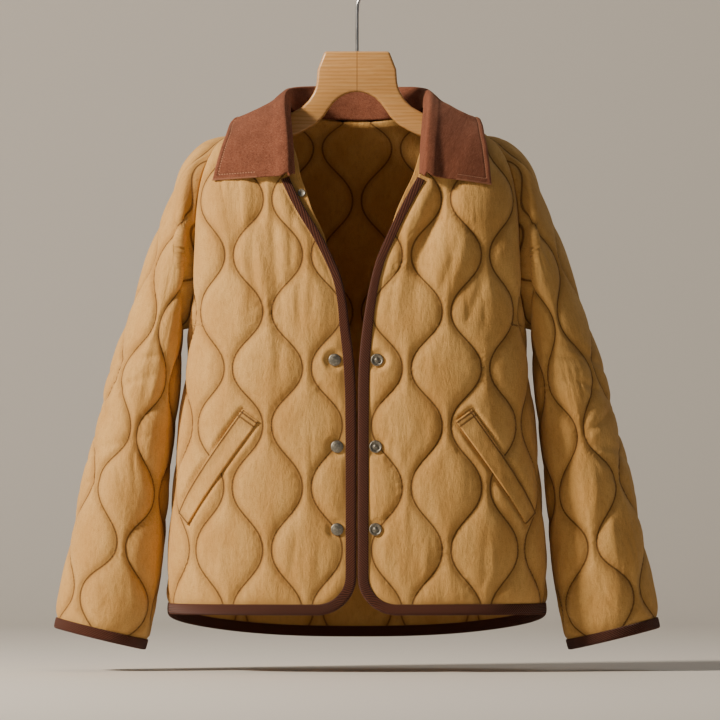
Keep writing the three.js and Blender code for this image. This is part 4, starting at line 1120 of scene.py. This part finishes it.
def evenly(s, h, step):
    run = np.concatenate([[0], np.cumsum(np.hypot(np.diff(s), np.diff(h)))])
    at = np.linspace(0, run[-1], int(run[-1] / step) + 1)
    return np.interp(at, run, s), np.interp(at, run, h)


def inwards(s, h, sign):
    ds, dh = np.gradient(s), np.gradient(h)
    size = np.hypot(ds, dh)
    return -dh / size * sign, ds / size * sign


def followSeam(s, h, inS, inH, back, end):
    # near its end the tape's inward way follows the side seam
    up = upAt(h[end] + 13.5, back)
    toSeam = np.sign(s[end]) * (seamAt(up, back) - abs(s[end])) / 13.5
    near = soft(1 - np.abs(s - s[end]) / 12)
    return mix(inS, toSeam, near), mix(inH, 1.0, near)


def frontTape(side):
    down = np.linspace(along(neckEndUp, False), hemAlong + hemCorner, 500)
    edge = frontEdge(side, upAt(down, False))
    turn = np.linspace(0, math.pi / 2, 60)[1:]
    centre = edge[-1] + hemCorner
    cornerS, cornerH = centre - hemCorner * np.cos(turn), hemAlong + hemCorner - hemCorner * np.sin(turn)
    hemS = np.linspace(centre, seamAt(0, False), 150)[1:]
    s = np.concatenate([edge, cornerS, hemS])
    h = np.concatenate([down, cornerH, np.full(len(hemS), hemAlong)])
    s, h = evenly(s, h, tape["step"])
    inS, inH = inwards(s, h, 1)
    inS, inH = followSeam(s, h, inS, inH, False, -1)
    word = sideWords[side]
    place = lambda a, b, t: wear(side, a, b, t)
    narrow = soft((upAt(h, False) - neckNarrow["from"]) / (neckNarrow["to"] - neckNarrow["from"]))
    share = mix(1.0, neckNarrow["share"], narrow)[:, None]
    name, replaced = f"binding_tape_front_{word}", [f"binding_front_{word}"]
    return tapePiece(name, s, h, inS, inH, place, False, replaced, share)


def backTape():
    share = np.linspace(-1, 1, 900)
    up = backHemUp(share)
    s, h = evenly(share * seamAt(up, True), along(up, True), tape["step"])
    inS, inH = inwards(s, h, 1)
    for end in [0, -1]:
        inS, inH = followSeam(s, h, inS, inH, True, end)
    place = lambda a, b, t: wear(0, a, b, t)
    return tapePiece("binding_tape_back", s, h, inS, inH, place, False, ["binding_back_hem"])


def cuffTape(side):
    s = np.linspace(-1, 1, int(gridSpan["cuffRound"] / tape["step"])) * sleeveHalf(0.0) * 0.9999
    h = np.zeros_like(s)
    word = sideWords[side]
    place = lambda a, b, t: wearSleeve(side, a, b, t)
    name, replaced = f"binding_tape_cuff_{word}", [f"binding_cuff_{word}"]
    return tapePiece(name, s, h, 0 * s, 0 * s + 1, place, True, replaced)


# Plates of cloth, rounded off at their edges: the collar, the welts and the facings


def platePiece(name, middle, normal, half, uvs, material, replaced):
    # a top and a bottom grid at +- half the thickness, which comes to nothing at the border
    rows, columns = middle.shape[:2]
    top, bottom = middle + normal * half[..., None], middle - normal * half[..., None]
    border = np.zeros((rows, columns), bool)
    border[[0, -1], :] = True
    border[:, [0, -1]] = True
    first = rows * columns
    ids = np.arange(first).reshape(rows, columns)
    below = np.where(border, ids, ids + first)
    quads = gridQuads(rows, columns)
    under = below.reshape(-1)[quads][:, ::-1]
    points = np.concatenate([top.reshape(-1, 3), bottom.reshape(-1, 3)])
    used = np.zeros(2 * first, bool)
    used[quads] = True
    used[under] = True
    renumber = np.cumsum(used) - 1
    faces = renumber[np.concatenate([quads, under])].tolist()
    layers = {key: np.concatenate([v.reshape(-1, 2)] * 2)[used] for key, v in uvs.items()}
    middleFace = (rows // 2) * (columns - 1) + columns // 2
    push = normal[rows // 2, columns // 2]
    return addPiece(name, points[used], faces, layers, material, replaced, (middleFace, push))


def gridNormals(points):
    return unit(np.cross(np.gradient(points, axis=1), np.gradient(points, axis=0)))


def edgeDistance(points):
    # for each point of a grid, its distance to the two ends of its row and of its column
    across = np.linalg.norm(np.diff(points, axis=1), axis=-1)
    upwards = np.linalg.norm(np.diff(points, axis=0), axis=-1)
    left = np.concatenate([np.zeros((points.shape[0], 1)), np.cumsum(across, axis=1)], axis=1)
    low = np.concatenate([np.zeros((1, points.shape[1])), np.cumsum(upwards, axis=0)], axis=0)
    return left, left[:, -1:] - left, low, low[-1:] - low


def clustered(size, step, edge):
    # places from 0 to 1, closer together within an edge's width of both ends
    fine = np.array([0, 0.04, 0.14, 0.3, 0.55, 0.8, 1.0]) * edge
    inner = np.linspace(edge, size - edge, max(3, int((size - 2 * edge) / step)))
    return np.concatenate([fine[:-1], inner, size - fine[:-1][::-1]]) / size


def rounding(distance, radius):
    return np.sqrt(np.clip(1 - (1 - np.clip(distance / radius, 0, 1)) ** 2, 0, 1))


def collarSide(side):
    # half of the collar: each station's path runs from the neckline up to the roll and down
    # the fall, as points that a smooth surface is drawn through
    at = np.linspace(0, 7, 15)
    row = {name: column(collarRows, name, at) for name in collarRows if name != "at"}
    edgeX, edgeUp = (row["rightX"], row["rightUp"]) if side < 0 else (row["leftX"], row["leftUp"])
    back = at > 3
    ridge = 6 * np.exp(-((at - 3.2) ** 2))
    clear = cloth["seamThick"] + cloth["loft"] + collar["thick"] / 2 + 0.8 + ridge

    def place(v, t):
        x, up = mix(row["neckX"], edgeX, v), mix(row["neckUp"], edgeUp, v)
        onFront = wear(side, acrossAt(up, False, x), along(up, False), t)
        onBack = wear(0, side * acrossAt(up, True, x), along(up, True), t)
        return np.where(back[:, None], onBack, onFront)

    base = place(0.0, 3.0)
    roll = np.stack([side * row["rollX"], row["rollY"], row["rollUp"]], axis=-1)
    away = place(0.3, clear) - base
    away[:, 2] = 0
    away = unit(away)
    rise = np.array([0, 0, 1.0])
    foot = base + 2.2 * rise - 2 * away
    inner = roll - 3 * away
    low = inner.copy()
    low[:, 2] = roll[:, 2] - 4
    path = [foot, mix(foot, inner, 0.5) - away, low, roll]
    for v in [0.14, 0.4, 0.7, 1.0]:
        over = roll + away * 8 * min(1, v / 0.12) - rise * 4 * min(1, v / 0.12)
        path.append(mix(over, place(v, clear), float(soft(v / 0.75))))
    return np.stack(path, axis=1)


def collarTable():
    # stations from the wearer's right front round the back to the left front
    table = np.concatenate([collarSide(-1), collarSide(1)[:-1][::-1]])
    table = np.concatenate([2 * table[:1] - table[1:2], table, 2 * table[-1:] - table[-2:-1]])
    before, after = 2 * table[:, :1] - table[:, 1:2], 2 * table[:, -1:] - table[:, -2:-1]
    return np.concatenate([before, table, after], axis=1)


def evenParameters(points, places):
    # parameters at which a line of points reaches given shares of its length
    run = np.concatenate([[0], np.cumsum(np.linalg.norm(np.diff(points, axis=0), axis=-1))])
    return np.interp(places * run[-1], run, np.linspace(0, 1, len(points)))


def collarPiece():
    table = collarTable()
    stations, pathCount = table.shape[0] - 2, table.shape[1] - 2
    fineI, fineJ = np.linspace(0, 1, 400), np.linspace(0, 1, 120)
    outerEdge = sampleTable(table, 1 + fineI * (stations - 1), np.full(400, float(pathCount)))
    sectionLine = sampleTable(table, np.full(120, 1.0 + stations * 0.1), 1 + fineJ * (pathCount - 1))
    i = 1 + evenParameters(outerEdge, clustered(640, collar["step"] * 1.5, 2.2)) * (stations - 1)
    j = 1 + evenParameters(sectionLine, clustered(190, collar["step"], 2.2)) * (pathCount - 1)
    i, j = i[:, None] + 0 * j[None, :], j[None, :] + 0 * i[:, None]
    middle = sampleTable(table, i, j)
    normal = gridNormals(middle)
    fromNeck, toEdge, fromStart, toEnd = edgeDistance(middle)
    border = np.minimum(np.minimum(fromNeck, toEdge), np.minimum(fromStart, toEnd))
    half = collar["thick"] / 2 * rounding(border, collar["thick"] / 2)
    rim = np.minimum(toEdge, np.minimum(fromStart, toEnd) + 1000 * (fromNeck < 60))
    furrow = 0.45 * np.exp(-(((rim - collar["stitchIn"]) / 1.3) ** 2))
    swell = 0.5 * np.exp(-(((rim - 3.4) / 2.0) ** 2))
    ripple = 0.35 * softNoise(fromStart / 9, fromNeck / 30, 61) * np.exp(-rim / 12)
    half = half + (swell - furrow + ripple) * rounding(border, 3.0)
    wobble = 0.8 * softNoise(fromStart / 45, fromNeck / 40, 62) * rounding(toEdge, 30)
    middle = middle + normal * wobble[..., None] * rounding(border, 3.0)[..., None]
    uvs = clothUvs(fromStart, fromNeck, rim, np.where(toEdge < fromStart, fromStart, fromNeck))
    piece = platePiece("wool_collar", middle, normal, half, uvs, fulledWool, ["collar"])
    return piece, fromStart, fromNeck


def weltPiece(side):
    word = sideWords[side]
    b = (clustered(welt["wide"], 0.9, 1.8) - 0.5) * welt["wide"]
    a = (clustered(welt["long"], 1.2, 1.8) - 0.5) * welt["long"]
    b, a = b[None, :] + 0 * a[:, None], a[:, None] + 0 * b[None, :]
    s, h = weltPlace(b, a)
    border = np.minimum(welt["wide"] / 2 - np.abs(b), welt["long"] / 2 - np.abs(a))
    level = welt["seat"] + 0.6 + welt["thick"] / 2
    sew = np.abs(welt["wide"] / 2 - b - weltStitch["side"])
    bothEnds = np.abs(welt["long"] / 2 - np.abs(a) - weltStitch["end"])
    ends = np.minimum(bothEnds, np.abs(welt["long"] / 2 + a - weltStitch["secondEnd"]))
    stitch = np.minimum(sew, ends)
    half = welt["thick"] / 2 * rounding(border, 1.6)
    half = half + (0.5 * (1 - np.exp(-stitch / 1.6)) - 0.3) * rounding(border, 2.5)
    half = half + 0.5 * softNoise(b / 7, a / 13, 71 + side) * rounding(border, 4)
    middle = wear(side, s, h, level)
    normal = unit(wear(side, s, h, level + 1) - wear(side, s, h, level - 1))
    uvs = clothUvs(s, h, stitch, np.where(ends < sew, b, a))
    name = f"pocket_welt_stitched_{word}"
    replaced = [f"pocket_welt_{word}"]
    return platePiece(name, middle, normal, half, uvs, quiltedCotton, replaced)


facing = {"topUp": 588.0, "lowUp": 414.0, "hidden": 15.0, "wide": 24.0, "thick": 2.0}
facingSnapAt = {"up": 505.0, "in": 8.6}


def facingPiece(side):
    word = sideWords[side]
    rows = np.linspace(facing["topUp"], facing["lowUp"], 150)[:, None]
    show = column(frontEdgeRows, "showRight" if side < 0 else "showLeft", rows)
    hidden = np.maximum(facing["hidden"] * soft((600 - rows) / 20), 3 - show)
    across = clustered(facing["wide"], 1.2, 1.2)[None, :]
    s = frontEdge(side, rows) + mix(-show, hidden, across)
    h = along(rows, False) + 0 * s
    level = -tape["gap"] - tape["thick"] - 0.8 - 1.0
    middle = wear(side, s, h, level)
    normal = unit(wear(side, s, h, level + 1) - wear(side, s, h, level - 1))
    fromLeft, toRight, fromTop, toLow = edgeDistance(middle)
    border = np.minimum(np.minimum(fromLeft, toRight), np.minimum(fromTop, toLow))
    half = facing["thick"] / 2 * rounding(border, 1.0)
    half = half + 0.25 * softNoise(s / 6, h / 18, 81) * rounding(border, 4)
    uvs = clothUvs(s, h, 0 * s + 9, h)
    name, replaced = f"facing_cloth_{word}", [f"facing_{word}"]
    return platePiece(name, middle, normal, half, uvs, quiltedCotton, replaced)


# Hardware: turned snaps, the wire hook and the wooden block


def turnedPiece(name, side, s, h, profile, count, replaced):
    # a profile of radius and height, turned about the cloth's outward direction
    profile = np.array(profile, float)
    base = wear(side, np.array([s]), np.array([h]), 0.0)[0]
    out = unit(wear(side, np.array([s]), np.array([h]), 5.0)[0] - base)
    e1 = unit(np.cross(out, [0.0, 0.0, 1.0]))
    e2 = np.cross(out, e1)
    angle = np.linspace(0, 2 * math.pi, count, endpoint=False)
    ring = np.cos(angle)[:, None] * e1 + np.sin(angle)[:, None] * e2
    body = profile[1:-1]
    points = base + body[:, None, 0:1] * ring[None] + body[:, None, 1:2] * out
    ends = base + profile[[0, -1], 1:2] * out
    n = len(body)
    faces = gridQuads(n, count, closed=True).tolist()
    bottom, top = n * count, n * count + 1
    faces += [[bottom, (j + 1) % count, j] for j in range(count)]
    faces += [[top, (n - 1) * count + j, (n - 1) * count + (j + 1) % count] for j in range(count)]
    points = np.concatenate([points.reshape(-1, 3), ends])
    at = (n - 2) * count
    return addPiece(name, points, faces, {}, gunmetal, replaced, (at, out))


def snapProfile(side):
    low, high = -2.2, snap["seat"] + 0.4
    top = high + snap["thick"]
    r = snap["capR"]
    stem = [(0, low), (5.4, low), (6.2, low + 0.6), (6.2, -0.8), (5.9, -0.4)]
    stem += [(2.4, -0.4), (2.4, high), (r - 0.6, high)]
    if side < 0:
        dome = [(r, high + 0.5), (r, high + 1.0), (r - 0.5, high + 1.6), (r - 1.3, top - 0.7)]
        dome += [(r - 1.9, top - 0.75), (r - 2.4, top - 0.55), (r - 3.6, top - 0.2), (1.8, top), (0, top)]
        return stem + dome
    rim = [(r, high + 0.5), (r, high + 1.3), (r - 0.6, high + 1.9), (r - 1.4, high + 1.9)]
    rim += [(r - 2.0, high + 1.4), (r - 2.4, high + 0.9), (2.9, high + 0.8), (2.4, high + 1.1)]
    rim += [(2.2, top - 0.5), (1.7, top), (0, top)]
    return stem + rim


def snapPieces(side):
    made = []
    for i, (s, h) in enumerate(zip(*snapPlaces(side))):
        name = f"snap_turned_{sideWords[side]}_{i + 1}"
        replaced = [f"snap_{sideWords[side]}_{i + 1}"]
        made.append(turnedPiece(name, side, float(s), float(h), snapProfile(side), 48, replaced))
    return made


def facingSnap():
    up = facingSnapAt["up"]
    s, h = float(frontEdge(-1, up)) - facingSnapAt["in"], float(along(up, False))
    low = -tape["gap"] - tape["thick"] - 0.5
    profile = [(0, low), (4.6, low), (4.8, low + 0.4), (4.8, low + 1.3), (4.4, low + 1.6), (3.7, low + 1.6)]
    profile += [(3.3, low + 1.2), (1.6, low + 1.0), (0.9, low + 0.9), (0, low + 0.85)]
    return turnedPiece("snap_turned_facing", -1, s, h, profile, 48, ["snap_facing"])


hanger = {"thick": 15.0, "tip": 150.0, "bevel": 3.2}
hookWire = {"r": 2.1, "bend": 24.0, "start": -58.0, "tip": 205.0}

# Outlines of the hanger's half and of the hook's stem, across and up.
hangerArch = [(0, 628), (7, 627.4), (14, 625), (21.5, 621), (28, 615), (34.5, 606.5), (40, 598)]
hangerArm = [(50, 588), (64, 580), (80, 573), (100, 566), (120, 557), (138, 548), (150, 551)]
hangerWaist = [(66, 610), (58.5, 617.5), (53, 626), (50, 633), (48.6, 640), (47.5, 655), (39, 677)]
hookStem = [(0, 0, 662), (0, 0, 700), (0, 0, 722), (0.6, 0, 734), (4, 0, 744)]


def shoulderHeight(x):
    ups = np.linspace(604, 560, 200)
    return np.interp(x, column(bodyRows, "half", ups), ups)


def hangerPiece():
    # an outline of the block and its arms, given a thickness and rounded off
    armX = np.linspace(hanger["tip"], 84, 13)
    top = np.stack([armX, shoulderHeight(armX) - 3], axis=-1)
    rows = [np.array(line, float) for line in [hangerArch, hangerArm, hangerWaist]]
    half = np.concatenate([rows[0], rows[1], top[1:], rows[2]])
    outline = np.concatenate([half, (half[1:] * [-1, 1])[::-1]])
    n = len(outline)
    points = np.zeros((2 * n, 3))
    points[:n, 0], points[:n, 2] = outline[:, 0], outline[:, 1]
    points[n:] = points[:n]
    points[:n, 1], points[n:, 1] = -hanger["thick"] / 2, hanger["thick"] / 2
    faces = [list(range(n)), list(range(2 * n - 1, n - 1, -1))]
    faces += [[(i + 1) % n, i, i + n, (i + 1) % n + n] for i in range(n)]
    forwards = (0, np.array([0, -1.0, 0]))
    piece = addPiece("beech_hanger", points, faces, {}, beech, ["hanger"], forwards)
    bevel = piece.modifiers.new("rounding", "BEVEL")
    bevel.width, bevel.segments = hanger["bevel"] * 0.001, 4
    bevel.limit_method, bevel.angle_limit = "ANGLE", math.radians(35)
    return piece


def hookPiece():
    # a round wire carried up the stem and round the bend, its tip rounded
    centreUp = hookUp - hookWire["bend"] + hookWire["r"]
    angle = np.radians(np.linspace(hookWire["start"], hookWire["tip"], 70))
    bend = np.stack([np.cos(angle), 0 * angle, np.sin(angle)], axis=-1) * hookWire["bend"] + [0, 0, centreUp]
    line = np.concatenate([np.array(hookStem, float), bend])
    run = np.concatenate([[0], np.cumsum(np.linalg.norm(np.diff(line, axis=0), axis=-1))])
    at = np.linspace(0, run[-1], 240)
    path = np.stack([np.interp(at, run, line[:, k]) for k in range(3)], axis=-1)
    for _ in range(6):
        path[1:-1] = (path[:-2] + path[1:-1] * 2 + path[2:]) / 4
    tangent = unit(np.gradient(path, axis=0))
    side = np.array([0, 1.0, 0]) + 0 * tangent
    other = np.cross(tangent, side)
    turn = np.linspace(0, 2 * math.pi, 16, endpoint=False)
    radius = hookWire["r"] * rounding(np.minimum(at, at[-1] - at) + 0.05, 2.0)
    ring = np.cos(turn)[None, :, None] * side[:, None] + np.sin(turn)[None, :, None] * other[:, None]
    points = path[:, None] + ring * radius[:, None, None]
    faces = gridQuads(len(at), 16, closed=True).tolist()
    faces += [list(range(16))[::-1], [(len(at) - 1) * 16 + k for k in range(16)]]
    push = ring[10, 0]
    return addPiece("steel_hook", points.reshape(-1, 3), faces, {}, steel, ["hook"], (160, push))


backCloth, backS, backH = backPanel()
backEdge = backTape()
collarCloth, collarS, collarH = collarPiece()
for side in [-1, 1]:
    frontCloth, frontS, frontH = frontPanel(side)
    onFront = [frontTape(side), weltPiece(side), facingPiece(side)] + snapPieces(side)
    if side < 0:
        onFront.append(facingSnap())
    sleeveCloth, sleeveS, sleeveH = sleevePanel(side)
    cuffTape(side)
hangerPiece()
hookPiece()

# Floor, lights and camera

studio = {
    "floor": "#DAD6CF",
    "floorUp": -71.0,
    "bendFrom": 2.4,
    "bend": 1.2,
    "wallAt": 3.6,
    "wallHigh": 6.0,
    "nearEnd": -20.0,
    "halfWide": 9.0,
    "air": "#E6E3DE",
    "airPower": 0.09,
}

# The lamps, in metres, and their aim: the middle of the fronts.
lamps = {
    "key": {"place": (-3.2, -1.6, 1.55), "size": 0.55, "power": 285.0, "colour": "#FFF1DF"},
    "fill": {"place": (2.4, -2.2, 0.1), "size": 1.8, "power": 2.0, "colour": "#F4F6FF"},
    "top": {"place": (0.3, 0.4, 1.9), "size": 1.6, "power": 9.0, "colour": "#FFFFFF"},
}
middleUp = (304 - hookUp) * 0.001

# The camera, in metres: how far off it is, how much of the fronts' plane it takes in.
lens = {"right": 0.0036, "away": 14.0, "toFronts": 13.9, "takesIn": 0.864, "sensor": 36, "far": 60}


def backdrop():
    # a floor that curves up into a wall, drawn as a profile carried sideways
    down = (studio["floorUp"] - hookUp) * 0.001
    start, r, wide = studio["bendFrom"], studio["bend"], studio["halfWide"]
    turn = np.linspace(0, math.pi / 2, 24)
    curve = [(start + r * math.sin(a), down + r - r * math.cos(a)) for a in turn]
    profile = [(studio["nearEnd"], down)] + curve + [(studio["wallAt"], studio["wallHigh"])]
    points = [(x, y, z) for y, z in profile for x in (-wide, wide)]
    faces = [[2 * i, 2 * i + 1, 2 * i + 3, 2 * i + 2] for i in range(len(profile) - 1)]
    mesh = bpy.data.meshes.new("backdrop")
    mesh.from_pydata(points, [], faces)
    mesh.polygons.foreach_set("use_smooth", np.ones(len(mesh.polygons), dtype=bool))
    material, _, shader = newMaterial("painted_paper", Roughness=0.75)
    shader.inputs["Base Color"].default_value = srgb(studio["floor"])
    mesh.materials.append(material)
    sheet = bpy.data.objects.new("backdrop", mesh)
    bpy.context.scene.collection.objects.link(sheet)


def areaLight(name, aim, place, size, power, colour):
    light = bpy.data.lights.new(name, "AREA")
    light.shape, light.size, light.size_y = "RECTANGLE", size, size
    light.energy, light.color = power, srgb(colour)[:3]
    lamp = bpy.data.objects.new(name, light)
    lamp.location = place
    way = np.array(aim, float) - np.array(place, float)
    tip = math.acos(-way[2] / np.linalg.norm(way))
    lamp.rotation_euler = (tip, 0, math.atan2(way[1], way[0]) - math.pi / 2)
    bpy.context.scene.collection.objects.link(lamp)


def camera():
    # level with the middle of the fronts and far off, as through a long lens: 720 pixels
    # take in 864 mm at the fronts
    data = bpy.data.cameras.new("camera")
    data.sensor_width = lens["sensor"]
    data.lens = lens["sensor"] * lens["toFronts"] / lens["takesIn"]
    data.clip_end = lens["far"]
    view = bpy.data.objects.new("camera", data)
    view.location = (lens["right"], -lens["away"], middleUp)
    view.rotation_euler = (math.pi / 2, 0, 0)
    bpy.context.scene.collection.objects.link(view)
    bpy.context.scene.camera = view


def air():
    world = bpy.data.worlds.new("studio")
    bpy.context.scene.world = world
    world.use_nodes = True
    inputs = world.node_tree.nodes["Background"].inputs
    inputs[0].default_value, inputs[1].default_value = srgb(studio["air"]), studio["airPower"]


backdrop()
for name, settings in lamps.items():
    areaLight(name, (0, 0, middleUp), **settings)
air()
camera()
print("jacket: studio ready")
